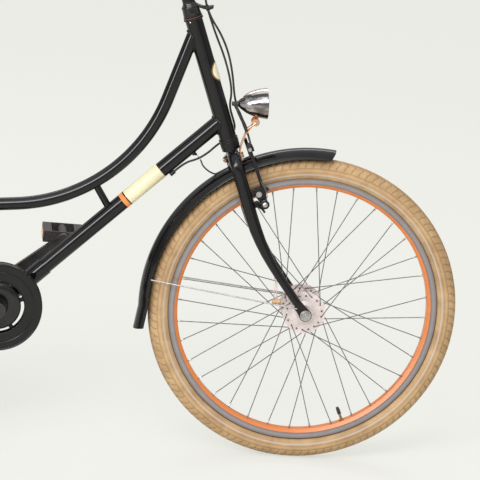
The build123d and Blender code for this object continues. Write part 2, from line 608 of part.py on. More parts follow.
def chain_stay_points(side):
    """Middle line of one chain stay, bent outwards past the tyre."""
    shoulder = BRACKET + Vector(STAY_SHOULDER[0], side * STAY_SPREAD, STAY_SHOULDER[1])
    return [BRACKET + Vector(-4, side * 26, 0), shoulder,
            REAR_AXLE + Vector(26, side * (REAR_WIDTH / 2 - 4), -4)]


def stand_plate_middle():
    """Height of the middle of the plate between the chain stays, above the stand."""
    return BRACKET.Z + STAY_SHOULDER[1] - STAY_RADIUS


def make_chain_stays(shell_core, seat_core):
    """Two chain stays with their dropouts, joined by the plate that the stand is bolted under."""
    outline = hull((0, 0, 15), (40, -3, 9), (14, 24, 8), (*RACK_EYE, 6))
    outline -= Pos(*RACK_EYE) * Circle(RACK_EYE_RADIUS)
    whole = Pos(BRACKET.X - STAND_BACK, 0, stand_plate_middle()) * Box(*STAND_PLATE)
    for side in (1, -1):
        whole += bent_rod(chain_stay_points(side), STAY_BEND, STAY_RADIUS)
        middle = side * (REAR_WIDTH + DROPOUT_THICKNESS) / 2
        whole += at(REAR_AXLE, upright(outline, middle, DROPOUT_THICKNESS))
    whole -= at(REAR_AXLE, disc(AXLE_RADIUS, -REAR_WIDTH, REAR_WIDTH))
    whole -= at(BRACKET, disc(BRACKET_RADIUS, -BRACKET_WIDTH, BRACKET_WIDTH))
    return whole - shell_core - seat_core


def make_seat_stays(seat_core, stays):
    """Two seat stays from the top of the seat tube to the dropouts, and the mudguard's bridge."""
    top = SEAT_TUBE_TOP - SEAT_STAY_DROP * SEAT_DIRECTION
    foot = REAR_AXLE + Vector(SEAT_STAY_FOOT[0], 0, SEAT_STAY_FOOT[1])
    span = (REAR_AXLE - top).length - MUDGUARD_RADIUS - BRIDGE_RADIUS - SEAT_GAP
    bridge_at = top + span * (foot - top).normalized()
    reach = Vector(0, SEAT_STAY_SPREAD - 1, 0)
    whole = rod(bridge_at - reach, bridge_at + reach, BRIDGE_RADIUS)
    for side in (1, -1):
        end = foot + Vector(0, side * (REAR_WIDTH / 2 - 2), 0)
        shoulder = top + 105 * (end - top).normalized()
        points = [(top.X, side * 18, top.Z), (shoulder.X, side * SEAT_STAY_SPREAD, shoulder.Z), tuple(end)]
        whole += biggest(bent_rod(points, 200, SEAT_STAY_RADIUS) - seat_core - stays)
    return whole


def make_seat():
    """Seat post, clamp, saddle carriage and saddle."""
    post_foot = SEAT_TUBE_TOP - SEAT_POST_INSERTION * SEAT_DIRECTION
    post_top = BRACKET + SEAT_POST_TOP * SEAT_DIRECTION
    write("seat_post", rod(post_foot, post_top, SEAT_POST_RADIUS))
    write("seat_collar", pipe(SEAT_TUBE_TOP, SEAT_TUBE_TOP + SEAT_COLLAR_HEIGHT * SEAT_DIRECTION,
                              SEAT_TUBE_RADIUS + SEAT_COLLAR_WALL, SEAT_POST_RADIUS + RUNNING_FIT))
    carriage = at(post_top, disc(16, -22, 22))
    for side in (1, -1):
        rail = [(105, side * 12, 22), (55, side * 22, 0), (-60, side * 24, 0), (-100, side * 46, -12)]
        carriage += bent_rod([post_top + Vector(*place) for place in rail], 20, 3.5)
        carriage += Pos(*(post_top + Vector(-100, side * 46, 6))) * Cylinder(13, 44)
    write("saddle_carriage", carriage - rod(post_foot, post_top, SEAT_POST_RADIUS))
    write("saddle", make_saddle(post_top))


def make_saddle(post_top):
    """A broad sprung saddle as one crowned closed form, lofted from nose to tail."""
    base = post_top.Z + SADDLE_RISE
    sections = []
    for ahead, width, height in SADDLE_STATIONS:
        outline = SlotOverall(width, height) if width > height + 2 else Ellipse(width / 2, height / 2)
        place = (post_top.X + ahead, 0, base + height / 2)
        sections.append(Plane(origin=place, x_dir=(0, 1, 0), z_dir=(-1, 0, 0)) * outline)
    return loft(sections)


# ---------------------------------------------------------------- steering
def blade_radius(height):
    """A blade's radius at a place along the steering axis."""
    high, low = BLADE_TAPER
    share = min(1, max(0, (high - height) / (high - low)))
    return BLADE_TOP_RADIUS + (BLADE_END_RADIUS - BLADE_TOP_RADIUS) * share


def blade_stations(side):
    """Sections of one blade: straight, tapering through an even bend, then straight to the axle."""
    rake = atan2(FORK_OFFSET, BLADE_BEND_HEIGHT)
    tangent = BLADE_BEND_RADIUS * tan(rake / 2)
    top = CROWN_HEIGHT - CROWN_DROP
    stop = hypot(FORK_OFFSET, BLADE_BEND_HEIGHT) - BLADE_END_GAP
    end_y = (FRONT_WIDTH + DROPOUT_THICKNESS) / 2 + 1
    places = [(0, top, 0)]
    for k in range(BEND_STEPS + 1):
        turn = rake * k / BEND_STEPS
        places.append((BLADE_BEND_RADIUS * (1 - cos(turn)),
                       BLADE_BEND_HEIGHT + tangent - BLADE_BEND_RADIUS * sin(turn), turn))
    places.append((stop * sin(rake), BLADE_BEND_HEIGHT - stop * cos(rake), rake))
    stations = []
    for ahead, height, turn in places:
        share = (top - height) / (top - places[-1][1])
        across = side * (BLADE_SPREAD + (end_y - BLADE_SPREAD) * share)
        stations.append(((ahead, across, height), (sin(turn), 0, -cos(turn)), blade_radius(height)))
    return stations


def pad_place():
    """Middle of the brake pads, ahead of and along the steering axis."""
    reach = RIM_RADIUS - RIM_TRACK / 2 - PAD_INSET
    return PAD_AHEAD, sqrt(reach ** 2 - (FORK_OFFSET - PAD_AHEAD) ** 2)


def make_fork():
    """Steerer, crown, two raked blades with their ends and the brake bosses."""
    steerer_length = HEAD_TUBE_TOP - CROWN_HEIGHT
    fork = Pos(0, 0, CROWN_HEIGHT + steerer_length / 2) * Cylinder(STEERER_RADIUS, steerer_length)
    fork += Pos(0, 0, CROWN_HEIGHT + 16) * Cylinder(19, 6)
    fork += Pos(0, 0, BOLT_HEIGHT) * Rot(0, 90, 0) * Cylinder(BOLT_BOSS_RADIUS, 2 * BOLT_FACE)
    eye = (FORK_OFFSET + EYELET[0], EYELET[1])
    plate = hull((FORK_OFFSET, 0, 13), (FORK_OFFSET - 11, 38, 7)) + hull((FORK_OFFSET, 0, 8), (*eye, 5))
    brake_height = pad_place()[1] - BRAKE_PIVOT[1]
    for side in (1, -1):
        spread = side * BLADE_SPREAD
        shoulder = [(0, spread, CROWN_HEIGHT - CROWN_DROP), (0, spread, CROWN_HEIGHT),
                    (0, side * 6, CROWN_HEIGHT + 3)]
        fork += tapered_rod(blade_stations(side))
        fork += bent_rod(shoulder, CROWN_BEND, BLADE_TOP_RADIUS)
        fork += upright(plate, side * (FRONT_WIDTH + DROPOUT_THICKNESS) / 2, DROPOUT_THICKNESS)
        boss_end = BRAKE_PIVOT[0] + BRAKE_HUB[1] / 2
        fork += rod((0, side * BRAKE_SPREAD, brake_height), (boss_end, side * BRAKE_SPREAD, brake_height),
                    BRAKE_BOSS_RADIUS)
    fork -= Pos(0, 0, BOLT_HEIGHT) * Rot(0, 90, 0) * Cylinder(BOLT_RADIUS + RUNNING_FIT, 4 * BOLT_FACE)
    fork -= Pos(FORK_OFFSET, 0, 0) * disc(AXLE_RADIUS, -FRONT_WIDTH, FRONT_WIDTH)
    write("fork", STEER * fork)


def make_headset():
    """Upper and lower bearing cups of the head tube."""
    race_top = CROWN_HEIGHT + 19 + SEAT_GAP
    bore = Pos(0, 0, HEAD_TUBE_TOP) * Cylinder(STEERER_RADIUS + RUNNING_FIT, 3 * HEAD_TUBE_LENGTH)
    lower = Pos(0, 0, (race_top + HEAD_TUBE_FOOT) / 2) * Cylinder(CUP_RADIUS, HEAD_TUBE_FOOT - race_top)
    upper = Pos(0, 0, HEAD_TUBE_TOP + CUP_HEIGHT / 2) * Cylinder(CUP_RADIUS, CUP_HEIGHT)
    write("headset_lower_cup", STEER * (lower - bore))
    write("headset_upper_cup", STEER * (upper - bore))


def lamp_point(along, below):
    """A steering place beside the headlamp: along its axis from the rear tip, and below that axis."""
    tilt = radians(LAMP_TILT)
    return (LAMP_TIP[0] + along * cos(tilt) - below * sin(tilt),
            CROWN_HEIGHT + LAMP_TIP[1] - along * sin(tilt) - below * cos(tilt))


def lamp_plane():
    """The headlamp's own plane: its Y runs from the rear tip to the lens, and its X to the left."""
    tilt = radians(LAMP_TILT)
    tip = Vector(LAMP_TIP[0], 0, CROWN_HEIGHT + LAMP_TIP[1])
    return STEER * Plane(origin=tip, x_dir=(0, 1, 0), z_dir=(-sin(tilt), 0, -cos(tilt)))


def lamp_tongue(gap):
    """The tongue under the lamp, in steering places, made larger all round by a gap."""
    circles = [(*lamp_point(LAMP_EYE[0], LAMP_EYE[1]), LAMP_EYE_RADIUS + gap),
               (*lamp_point(LAMP_EYE[0], LAMP_RADIUS / 2), LAMP_EYE_RADIUS + gap)]
    return upright(hull(*circles), 0, LAMP_EYE_TONGUE + 2 * gap)


def make_lamp():
    """Bullet headlamp: its shell with a tongue below, its lens in the rim, its rear boss and arm."""
    bore = LAMP_RADIUS - LAMP_WALL
    seat = LAMP_LENGTH - LAMP_RECESS
    curve = Spline((0, 0), *LAMP_BULGE, (LAMP_RADIUS, seat), tangents=((1, 0), (0, 1)))
    outline = Polyline((LAMP_RADIUS, seat), (LAMP_RADIUS, LAMP_LENGTH), (bore, LAMP_LENGTH), (bore, seat),
                       (0, seat), (0, 0))
    core = Polyline((LAMP_RADIUS, seat), (LAMP_RADIUS, LAMP_LENGTH), (0, LAMP_LENGTH), (0, 0))
    place = lamp_plane()
    shell = place * revolve(make_face([curve, outline]), Axis.Y)
    full = place * revolve(make_face([curve, core]), Axis.Y)
    shell += STEER * lamp_tongue(0) - full
    write("headlamp_shell", shell)
    write("headlamp_lens", place * disc(bore - RUNNING_FIT, seat, seat + LENS_THICKNESS))
    boss_radius, boss_length = LAMP_BOSS
    boss = place * disc(boss_radius, -boss_length, -SEAT_GAP)
    joint = lamp_point(-boss_length / 2, 2)
    outline = hull((*joint, 3.5), (37, CROWN_HEIGHT + 81, 3)) + hull((37, CROWN_HEIGHT + 81, 3),
                                                                    (41, CROWN_HEIGHT + 38, 3.5))
    return boss + STEER * upright(outline, 0, LAMP_ARM_WIDTH)


def make_lamp_bracket(arm):
    """The strip that carries the lamp, the arm that stands on it, and the bolt through the crown."""
    width, thickness = BRACKET_STRIP
    bolt = BOLT_FACE + thickness / 2
    eye = lamp_point(*LAMP_EYE)
    places = [(bolt, CROWN_HEIGHT - 15), (bolt, CROWN_HEIGHT + 4), (22, CROWN_HEIGHT + 16),
              (36.5, CROWN_HEIGHT + 35.5), (eye[0] - 4, eye[1] - 2.5), eye]
    line = [Vector(x, 0, z) for x, z in places]
    path = FilletPolyline(*line, radius=widest_bend(line, STRIP_BEND))
    strip = sweep(Plane(origin=path @ 0, z_dir=path % 0, x_dir=(0, 1, 0)) * Rectangle(width, thickness), path)
    strip += Pos(eye[0], 0, eye[1]) * disc(LAMP_EYE_RADIUS, -width / 2, width / 2)
    strip -= lamp_tongue(SEAT_GAP)
    strip -= Pos(0, 0, BOLT_HEIGHT) * Rot(0, 90, 0) * Cylinder(BOLT_RADIUS + RUNNING_FIT, 4 * BOLT_FACE)
    write("lamp_bracket", STEER * strip)
    write("lamp_arm", biggest(arm - STEER * strip))
    front = BOLT_FACE + thickness
    back = BOLT_FACE + GUARD_TAB[1]
    crown_bolt = rod((-back - 6, 0, BOLT_HEIGHT), (front + 4, 0, BOLT_HEIGHT), BOLT_RADIUS)
    crown_bolt += extrude(Plane(origin=(front, 0, BOLT_HEIGHT), z_dir=(1, 0, 0)) * RegularPolygon(6, 6), 4)
    crown_bolt += extrude(Plane(origin=(-back, 0, BOLT_HEIGHT), z_dir=(-1, 0, 0)) * RegularPolygon(6.5, 6), 4)
    write("crown_bolt", STEER * crown_bolt)


def make_brake():
    """Rim brake at the fork: two upright arms on the bosses, their link, and two pads beside the rim."""
    ahead, height = pad_place()
    pivot = (BRAKE_PIVOT[0], height - BRAKE_PIVOT[1])
    top = (BRAKE_ARM_TOP[0], CROWN_HEIGHT + BRAKE_ARM_TOP[1])
    knee = (pivot[0] + 5.5, height + 10)
    outline = hull((*pivot, 7), (ahead, height, 7), (*knee, 3.5)) + hull((*knee, 3.5), (*top, 3.5))
    hub_radius, hub_length = BRAKE_HUB
    pad_y = RIM_WIDTH / 2 + PAD_GAP + PAD_SIZE[1] / 2
    block_length, block_width, block_height = BRAKE_BLOCK
    link_height = CROWN_HEIGHT + 1
    arms = Pos(top[0] + 5.5, 0, link_height) * Box(block_length, block_width, block_height)
    arms += Pos(top[0], 0, link_height) * disc(BRAKE_LINK_RADIUS, -BRAKE_SPREAD, BRAKE_SPREAD)
    pads = []
    for side in (1, -1):
        arm = upright(outline, side * (BRAKE_SPREAD + 1), BRAKE_ARM_THICKNESS)
        arm += Pos(pivot[0], side * BRAKE_SPREAD, pivot[1]) * Rot(0, 90, 0) * Cylinder(hub_radius, hub_length)
        arm -= rod((0, side * BRAKE_SPREAD, pivot[1]), (2 * pivot[0], side * BRAKE_SPREAD, pivot[1]),
                   BRAKE_BOSS_RADIUS + RUNNING_FIT)
        arms += arm
        pad = Pos(ahead, side * pad_y, height) * Box(*PAD_SIZE)
        post = Pos(ahead, 0, height) * disc(3, pad_y, BRAKE_SPREAD + 1 - BRAKE_ARM_THICKNESS / 2)
        pads.append(STEER * (pad + (post if side > 0 else mirrored(post))))
    write("brake_arms", STEER * arms)
    write("brake_pads", pads)


def cap_outline(gap):
    """The headset cap's outline, as radius against place along the axis, moved out by a gap."""
    return [(radius + gap, CAP_FOOT + height) for radius, height in CAP_OUTLINE]


def turned(points):
    """A body turned about the steering axis from radius against place along that axis."""
    return Rot(90, 0, 0) * revolve(make_face(Polyline(*points, close=True)), Axis.Y)


def make_stem():
    """The headset's cap and the quill stem with its clamp for the bar."""
    steerer = STEERER_RADIUS + RUNNING_FIT
    outline = cap_outline(0)[:-1]
    tip = (steerer, CAP_FOOT + CAP_OUTLINE[-1][1])
    write("headset_cap", STEER * turned([(steerer, CAP_FOOT), *outline, tip]))
    top = HEAD_TUBE_TOP + BAR_RISE
    radius, length, middle = QUILL_SLEEVE
    quill = rod((0, 0, HEAD_TUBE_TOP), (0, 0, top), BAR_RADIUS)
    quill += Pos(0, 0, CAP_FOOT + middle) * Cylinder(radius, length)
    quill += rod((0, 0, top - 12), (BAR_REACH, 0, top), 13)
    quill += Pos(0, 0, top - 8) * Cylinder(13.5, 26)
    quill += Pos(BAR_REACH, 0, top) * disc(CLAMP_RADIUS, -CLAMP_WIDTH / 2, CLAMP_WIDTH / 2)
    quill -= Pos(BAR_REACH, 0, top) * disc(BAR_RADIUS, -2 * CLAMP_WIDTH, 2 * CLAMP_WIDTH)
    write("stem", STEER * quill)


def make_cable_guide():
    """A ring on the headset's cap with a tongue ahead, whose two eyes guide the brake cables."""
    foot, top, wall = GUIDE_RING
    (wide, low), (narrow, high) = cap_outline(SEAT_GAP)[1:3]
    slope = (narrow - wide) / (high - low)
    ring_foot, ring_top = CAP_FOOT + foot, CAP_FOOT + top
    inner = [wide + slope * (ring_foot - low), wide + slope * (ring_top - low)]
    guide = turned([(inner[0], ring_foot), (inner[0] + wall, ring_foot), (inner[1] + wall, ring_top),
                    (inner[1], ring_top)])
    circles = [(ahead, CAP_FOOT + above, radius) for ahead, above, radius in GUIDE_TONGUE]
    guide += upright(hull(*circles), 0, GUIDE_WIDTH)
    guide -= turned([(0, CAP_FOOT), *cap_outline(SEAT_GAP), (0, cap_outline(0)[-1][1])])
    for side in (1, -1):
        guide -= Pos(GUIDE_EYE, side * GUIDE_EYE_SPREAD, CAP_FOOT) * Cylinder(CABLE_RADIUS + GUIDE_PLAY, 60)
    write("cable_guide", STEER * biggest(guide))


def make_bars():
    """Swept-back handlebar with its grips, two brake levers and the bell."""
    clamp = steer(BAR_REACH, 0, HEAD_TUBE_TOP + BAR_RISE)
    rise = clamp + Vector(*BAR_LIFT)
    shoulder = clamp + Vector(*BAR_SHOULDER)
    end = clamp + Vector(BAR_SWEEP[0], BAR_HALF_WIDTH, BAR_SWEEP[1])
    left = [clamp + Vector(0, BAR_MIDDLE, 0), rise, shoulder, end]
    line = [Vector(p.X, -p.Y, p.Z) for p in reversed(left)] + left
    write("handlebar", bent_rod(line, [*BAR_BENDS, *reversed(BAR_BENDS)], BAR_RADIUS))
    way = (end - shoulder).normalized()
    bore = rod(end - 1.5 * GRIP_LENGTH * way, end, BAR_RADIUS + RUNNING_FIT)
    grip = rod(end - GRIP_LENGTH * way, end + GRIP_END * way, GRIP_RADIUS) - bore
    write("grip_left", grip)
    write("grip_right", mirrored(grip))
    lever = make_lever(end - (GRIP_LENGTH + LEVER_BACK) * way, way) - bore
    write("brake_lever_left", lever)
    write("brake_lever_right", mirrored(lever))
    make_bell((left[0] + rise) / 2 + (rise - left[0]) * 0.05, (rise - left[0]).normalized())


def make_lever(perch, way):
    """The left brake lever: its clamp on the bar, its body and the blade before the grip."""
    body = perch + Vector(14, 0, -21)
    lever = rod(perch - 9 * way, perch + 9 * way, LEVER_CLAMP_RADIUS)
    lever += at(body, Box(26, 14, 18))
    lever += rod(body, body + Vector(24.5, 0, 0), 4)
    blade = [body + Vector(0, 4, -6), body + Vector(-22, 14, -26), body + Vector(-110, 26, -34)]
    return lever + bent_rod(blade, 14, LEVER_RADIUS)


def make_bell(middle, way):
    """A dome bell on a ring round the bar."""
    stalk_top = middle + Vector(0, 0, 24)
    bell = rod(middle - 6 * way, middle + 6 * way, BAR_RADIUS + 4) + rod(middle, stalk_top, 5)
    bell += at(stalk_top, Cone(22, 10, 16, align=(Align.CENTER, Align.CENTER, Align.MIN)))
    write("bell", bell - rod(middle - 40 * way, middle + 40 * way, BAR_RADIUS + RUNNING_FIT))


# ---------------------------------------------------------------- cables and the steering's spring
def make_cable(node, places):
    """A cable through steering places, its corners eased as far as its runs allow."""
    points = [steer(*place) for place in places]
    runs = [points[k + 1] - points[k] for k in range(len(points) - 1)]
    radii = [0.45 * min(a.length, b.length) / tan(radians(a.get_angle(b)) / 2)
             for a, b in zip(runs, runs[1:])]
    path = FilletPolyline(*points, radius=radii)
    cable = sweep(Plane(origin=path @ 0, z_dir=path % 0) * Circle(CABLE_RADIUS), path)
    tightest = min(radii)
    drift = cable.volume / (pi * CABLE_RADIUS ** 2 * path.length) - 1
    print(f"{node}: radii {[round(r) for r in radii]}, length {path.length:.0f}, volume off by {drift:.5f}")
    if tightest < CABLE_TIGHTEST * 2 * CABLE_RADIUS:
        print(f"{node}: the bend of {tightest:.0f} mm is tight")
    write(node, cable)


def make_spring():
    """The spring that steadies the steering: hook and upper sleeve on the frame, the rest on the guard."""
    place, width, wall = SPRING_BAND
    band_at = DOWN_TUBE_TOP - place * DOWN_TUBE_WAY
    half = width / 2 * DOWN_TUBE_WAY
    bore = DOWN_TUBE_RADIUS + SEAT_GAP
    hook, sleeve, split = [steer(x, y, CROWN_HEIGHT + z) for x, y, z in SPRING_TOP]
    upper = pipe(band_at - half, band_at + half, bore + wall, bore)
    lug = rod(hook - Vector(0, 4, 0), hook + Vector(0, 4, 0), 3.5) - rod(band_at - half, band_at + half, bore)
    upper += lug + rod(hook, sleeve, SPRING_HOOK_RADIUS) + rod(sleeve, split, SPRING_RADIUS)
    write("steering_spring_top", upper)
    foot = [steer(x, y, CROWN_HEIGHT + z) for x, y, z in SPRING_FOOT]
    ahead, length, clip_width, thickness = SPRING_CLIP
    turn = atan2(ahead - FORK_OFFSET, sqrt(MUDGUARD_RADIUS ** 2 - (ahead - FORK_OFFSET) ** 2))
    out = Vector(sin(turn), 0, cos(turn))
    middle = Vector(FORK_OFFSET, 0, 0) + (MUDGUARD_RADIUS + SEAT_GAP + thickness / 2) * out
    clip = Plane(origin=middle, x_dir=(-cos(turn), 0, sin(turn)), z_dir=out)
    clip *= Box(length, clip_width, thickness)
    write("steering_spring_foot", bent_rod(foot, widest_bend(foot, 14), SPRING_RADIUS) + STEER * clip)


# ---------------------------------------------------------------- drive
def make_chain_case():
    """Hollow case round the chain, open in a ring about the bottom bracket, with a raised bead."""
    drop = REAR_AXLE - BRACKET
    middle = -(CASE_OUTER_Y + CASE_INNER_Y) / 2
    width = CASE_OUTER_Y - CASE_INNER_Y
    inset, bead, height = CASE_RIDGE

    def plate(edge, y, thickness):
        """A plate in the case's side view, the hull of two circles this far inside its edge."""
        outline = hull((0, 0, CASE_RADIUS - edge), (drop.X, drop.Z, CASE_REAR_RADIUS - edge))
        return upright(outline, y, thickness)

    case = plate(0, middle, width) - plate(CASE_WALL, middle, width - 2 * CASE_WALL)
    case += plate(inset, -CASE_OUTER_Y, 2 * height) - plate(inset + bead, -CASE_OUTER_Y, 4 * height)
    case -= plate(CASE_WALL, middle, width - 2 * CASE_WALL)
    case -= disc(CASE_OPENING, -CASE_OUTER_Y - width, -CASE_INNER_Y + width)
    case -= at(drop, disc(CASE_REAR_OPENING, -CASE_OUTER_Y - width, -CASE_INNER_Y + width))
    case = at(BRACKET, case) - bent_rod(chain_stay_points(-1), STAY_BEND, STAY_RADIUS + SEAT_GAP)
    write("chain_case", biggest(case) - PARTS["seat_stays"] - PARTS["chain_stays"])


def make_cranks():
    """Chainwheel, spindle, both crank arms with their pedal spindles, and the two pedals."""
    face = CHAIN_LINE + 2
    plate = disc(CHAINWHEEL_DISC, -face, 4 - face)
    plate += ring(*CHAINWHEEL_RING, -CHAIN_LINE - 1.25, -CHAIN_LINE + 1.25)
    for k in range(CHAINWHEEL_ARMS):
        turn = 360 / CHAINWHEEL_ARMS * k + 20
        reach = (CHAINWHEEL_DISC + CHAINWHEEL_RING[0]) / 2
        plate += Rot(0, -turn, 0) * Pos(reach, -CHAIN_LINE, 0) * Box(26, 3, 9)
    write("chainwheel", at(BRACKET, plate - disc(SPINDLE_RADIUS, -2 * CHAIN_LINE, 0)))
    outer = CRANK_INNER_Y + CRANK_THICKNESS
    arms = disc(SPINDLE_RADIUS, -CRANK_INNER_Y, CRANK_INNER_Y) + disc(14, -CRANK_INNER_Y, -face)
    a = radians(CRANK_ANGLE)
    for side, name in ((1, "left"), (-1, "right")):
        tip = side * CRANK_LENGTH * Vector(cos(a), 0, sin(a))
        arms += upright(hull((0, 0, CRANK_EYES[0]), (tip.X, tip.Z, CRANK_EYES[1])),
                        side * (CRANK_INNER_Y + outer) / 2, CRANK_THICKNESS)
        arms += rod((tip.X, side * outer, tip.Z), (tip.X, side * (PEDAL_INNER_Y + PEDAL_WIDTH - 6), tip.Z),
                    PEDAL_SPINDLE_RADIUS)
        middle = Vector(0, side * (PEDAL_INNER_Y + PEDAL_WIDTH / 2), 0)
        write(f"pedal_{name}", at(BRACKET + tip + middle, make_pedal()))
    write("crank_arms", at(BRACKET, arms))


def make_pedal():
    """A level pedal: two treads and two cage plates round a barrel that runs on its spindle."""
    half = PEDAL_WIDTH / 2
    body = disc(PEDAL_BARREL_RADIUS, -half, half)
    for end in (1, -1):
        body += Pos(0, end * (half - PEDAL_CAGE / 2), 0) * Box(PEDAL_LENGTH, PEDAL_CAGE, PEDAL_THICKNESS)
        ahead = end * (PEDAL_LENGTH - PEDAL_TREAD) / 2
        body += Pos(ahead, 0, 0) * Box(PEDAL_TREAD, PEDAL_WIDTH, PEDAL_THICKNESS)
    return body - disc(PEDAL_SPINDLE_RADIUS + RUNNING_FIT, -2 * half, 2 * half)


# ---------------------------------------------------------------- stand and carrier
def make_stand():
    """Two-legged centre stand on a cross pin, its bracket under the chain stays and its feet."""
    pivot = BRACKET - Vector(STAND_BACK, 0, STAND_DROP)
    plate_foot = stand_plate_middle() - STAND_PLATE[2] / 2
    half = STAND_NECK - STAND_LEG_RADIUS - SEAT_GAP
    length, foot_radius = STAND_LUG
    height = plate_foot - pivot.Z
    bracket = Pos(0, 0, height / 2) * Box(length, 2 * half, height) + disc(foot_radius, -half, half)
    bracket = at(pivot, bracket)
    write("stand_bracket", bracket - at(pivot, disc(STAND_PIN_RADIUS + RUNNING_FIT, -2 * half, 2 * half)))
    lean = radians(STAND_LEAN)
    down = Vector(sin(lean), 0, -cos(lean))
    knee = pivot + STAND_NECK_LENGTH * down
    sole = pivot + (pivot.Z - STAND_FOOT_HEIGHT / 2) / cos(lean) * down
    pin_end = STAND_NECK + STAND_LEG_RADIUS + 3
    legs = at(pivot, disc(STAND_PIN_RADIUS, -pin_end, pin_end))
    foot = Pos(sole.X, STAND_SPREAD, STAND_FOOT_HEIGHT / 2) * Cylinder(STAND_FOOT_RADIUS, STAND_FOOT_HEIGHT)
    for side in (1, -1):
        points = [(pivot.X, side * STAND_NECK, pivot.Z), (knee.X, side * STAND_NECK, knee.Z),
                  (sole.X, side * STAND_SPREAD, sole.Z)]
        legs += bent_rod(points, 30, STAND_LEG_RADIUS)
    write("stand_legs", legs - foot - mirrored(foot))
    write("stand_feet", both(foot))


def make_carrier():
    """Tube carrier over the rear wheel: a rounded hoop, cross bars, two legs each side and its lamp."""
    front = REAR_AXLE.X + CARRIER_AHEAD
    back = front - CARRIER_LENGTH
    w, h = CARRIER_HALF_WIDTH, TYRE_RADIUS + MUDGUARD_RADIUS + CARRIER_GAP
    bar = CARRIER_RADIUS - 1
    brace_at = front - 8
    carrier = bent_rod([(front, w, h), (back, w, h), (back, -w, h), (front, -w, h)], 25, CARRIER_RADIUS)
    for x in (brace_at, front - 110, front - 220):
        carrier += rod((x, -w, h), (x, w, h), bar)
    for y in (-20, 20):
        carrier += rod((brace_at, y, h), (back, y, h), bar - 1)
    out = REAR_WIDTH / 2 + DROPOUT_THICKNESS + CARRIER_RADIUS
    lug = SEAT_TUBE_TOP + SEAT_COLLAR_HEIGHT / 2 * SEAT_DIRECTION
    for side in (1, -1):
        foot = REAR_AXLE + Vector(6, side * out, 24)
        for x in (front - 70, back + 90):
            carrier += bent_rod([(x, side * w, h), (x, side * (out + 1), h - 40), tuple(foot)], 20, bar)
        carrier += at(foot, disc(7, -CARRIER_RADIUS, CARRIER_RADIUS))
        carrier += rod((brace_at, side * 14, h), (lug.X, side * 11, lug.Z), bar - 1)
    for neighbour in ("seat_collar", "seat_post", "seat_stays", "rear_axle"):
        carrier -= PARTS[neighbour]
    write("carrier", biggest(carrier))
    write("rear_lamp", Pos(back - CARRIER_RADIUS - 10 - SEAT_GAP, 0, h) * Box(20, 90, 34))


make_wheel("front", FRONT_AXLE, FRONT_FLANGE_RADIUS, FRONT_FLANGE_HALF, FRONT_HUB_RADIUS, FRONT_WIDTH)
make_wheel("rear", REAR_AXLE, REAR_FLANGE_RADIUS, REAR_FLANGE_HALF, REAR_HUB_RADIUS, REAR_WIDTH)
make_axle("front_axle", FRONT_AXLE, FRONT_WIDTH)
make_axle("rear_axle", REAR_AXLE, REAR_WIDTH)
make_mudguards()
make_frame()
make_seat()
make_fork()
make_headset()
make_lamp_bracket(make_lamp())
make_brake()
make_stem()
make_cable_guide()
make_bars()
make_cable("front_brake_cable", FRONT_CABLE)
make_cable("rear_brake_cable_front", REAR_CABLE_FRONT)
make_cable("rear_brake_cable_back", REAR_CABLE_BACK)
make_spring()
make_chain_case()
make_cranks()
make_stand()
make_carrier()
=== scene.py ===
"""Looks of the child bicycle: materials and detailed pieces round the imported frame.

Lengths are metres, in the frame's own axes: +X forwards, +Y the rider's left, +Z up, floor at Z = 0.
Every new surface is a function of two parameters on a grid, or a profile carried along a path.
"""
import json
from math import cos, pi, radians, sin

import bmesh
import bpy
import numpy as np
from mathutils import Matrix, Vector


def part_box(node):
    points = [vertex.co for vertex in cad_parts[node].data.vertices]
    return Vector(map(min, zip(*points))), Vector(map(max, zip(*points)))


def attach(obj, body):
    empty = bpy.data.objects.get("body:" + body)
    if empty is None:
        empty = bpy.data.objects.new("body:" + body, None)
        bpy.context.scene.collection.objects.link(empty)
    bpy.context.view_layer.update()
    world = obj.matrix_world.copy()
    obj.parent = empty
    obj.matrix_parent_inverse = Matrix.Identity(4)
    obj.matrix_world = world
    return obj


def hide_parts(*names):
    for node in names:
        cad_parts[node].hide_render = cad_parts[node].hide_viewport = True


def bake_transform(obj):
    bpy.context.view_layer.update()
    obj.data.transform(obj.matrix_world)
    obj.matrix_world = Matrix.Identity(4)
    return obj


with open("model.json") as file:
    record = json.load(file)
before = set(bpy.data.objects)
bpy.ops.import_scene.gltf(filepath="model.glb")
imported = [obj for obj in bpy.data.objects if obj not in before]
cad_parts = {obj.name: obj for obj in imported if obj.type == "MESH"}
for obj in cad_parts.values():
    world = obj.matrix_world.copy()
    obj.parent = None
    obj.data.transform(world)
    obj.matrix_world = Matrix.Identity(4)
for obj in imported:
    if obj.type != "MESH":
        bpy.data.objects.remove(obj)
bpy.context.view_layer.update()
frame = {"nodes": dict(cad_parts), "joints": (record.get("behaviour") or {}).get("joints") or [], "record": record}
NODES = frame["nodes"]
JOINTS = {joint["name"]: joint for joint in frame["joints"]}


# ---------------------------------------------------------------- places on the bicycle
def middle(node):
    """Middle of a node's box."""
    return np.mean([np.array(corner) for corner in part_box(node)], axis=0)


FRONT_AXLE = middle("front_rim")
REAR_AXLE = middle("rear_rim")
BRACKET = middle("bottom_bracket")
STEER_UP = np.array(JOINTS["steering_turn"]["axis"])
STEER_AHEAD = np.array([STEER_UP[2], 0.0, -STEER_UP[0]])
LEFT = np.array([0.0, 1.0, 0.0])
STEER_JOINT = np.array(JOINTS["steering_turn"]["pos_m"])
STEER_FOOT = STEER_JOINT + STEER_UP * np.dot(FRONT_AXLE - STEER_JOINT, STEER_UP)   # level with the front axle
FORK_OFFSET = 0.0504          # front axle ahead of the steering axis
RIM_RADIUS = 0.284            # outer radius of the rims
TYRE_RADIUS = 0.3255          # outer radius of the tyres
TYRE_SECTION = 0.0235         # radius of the tyre's round section
CAP_FOOT = 0.6663             # foot of the headset's cap, along the steering axis


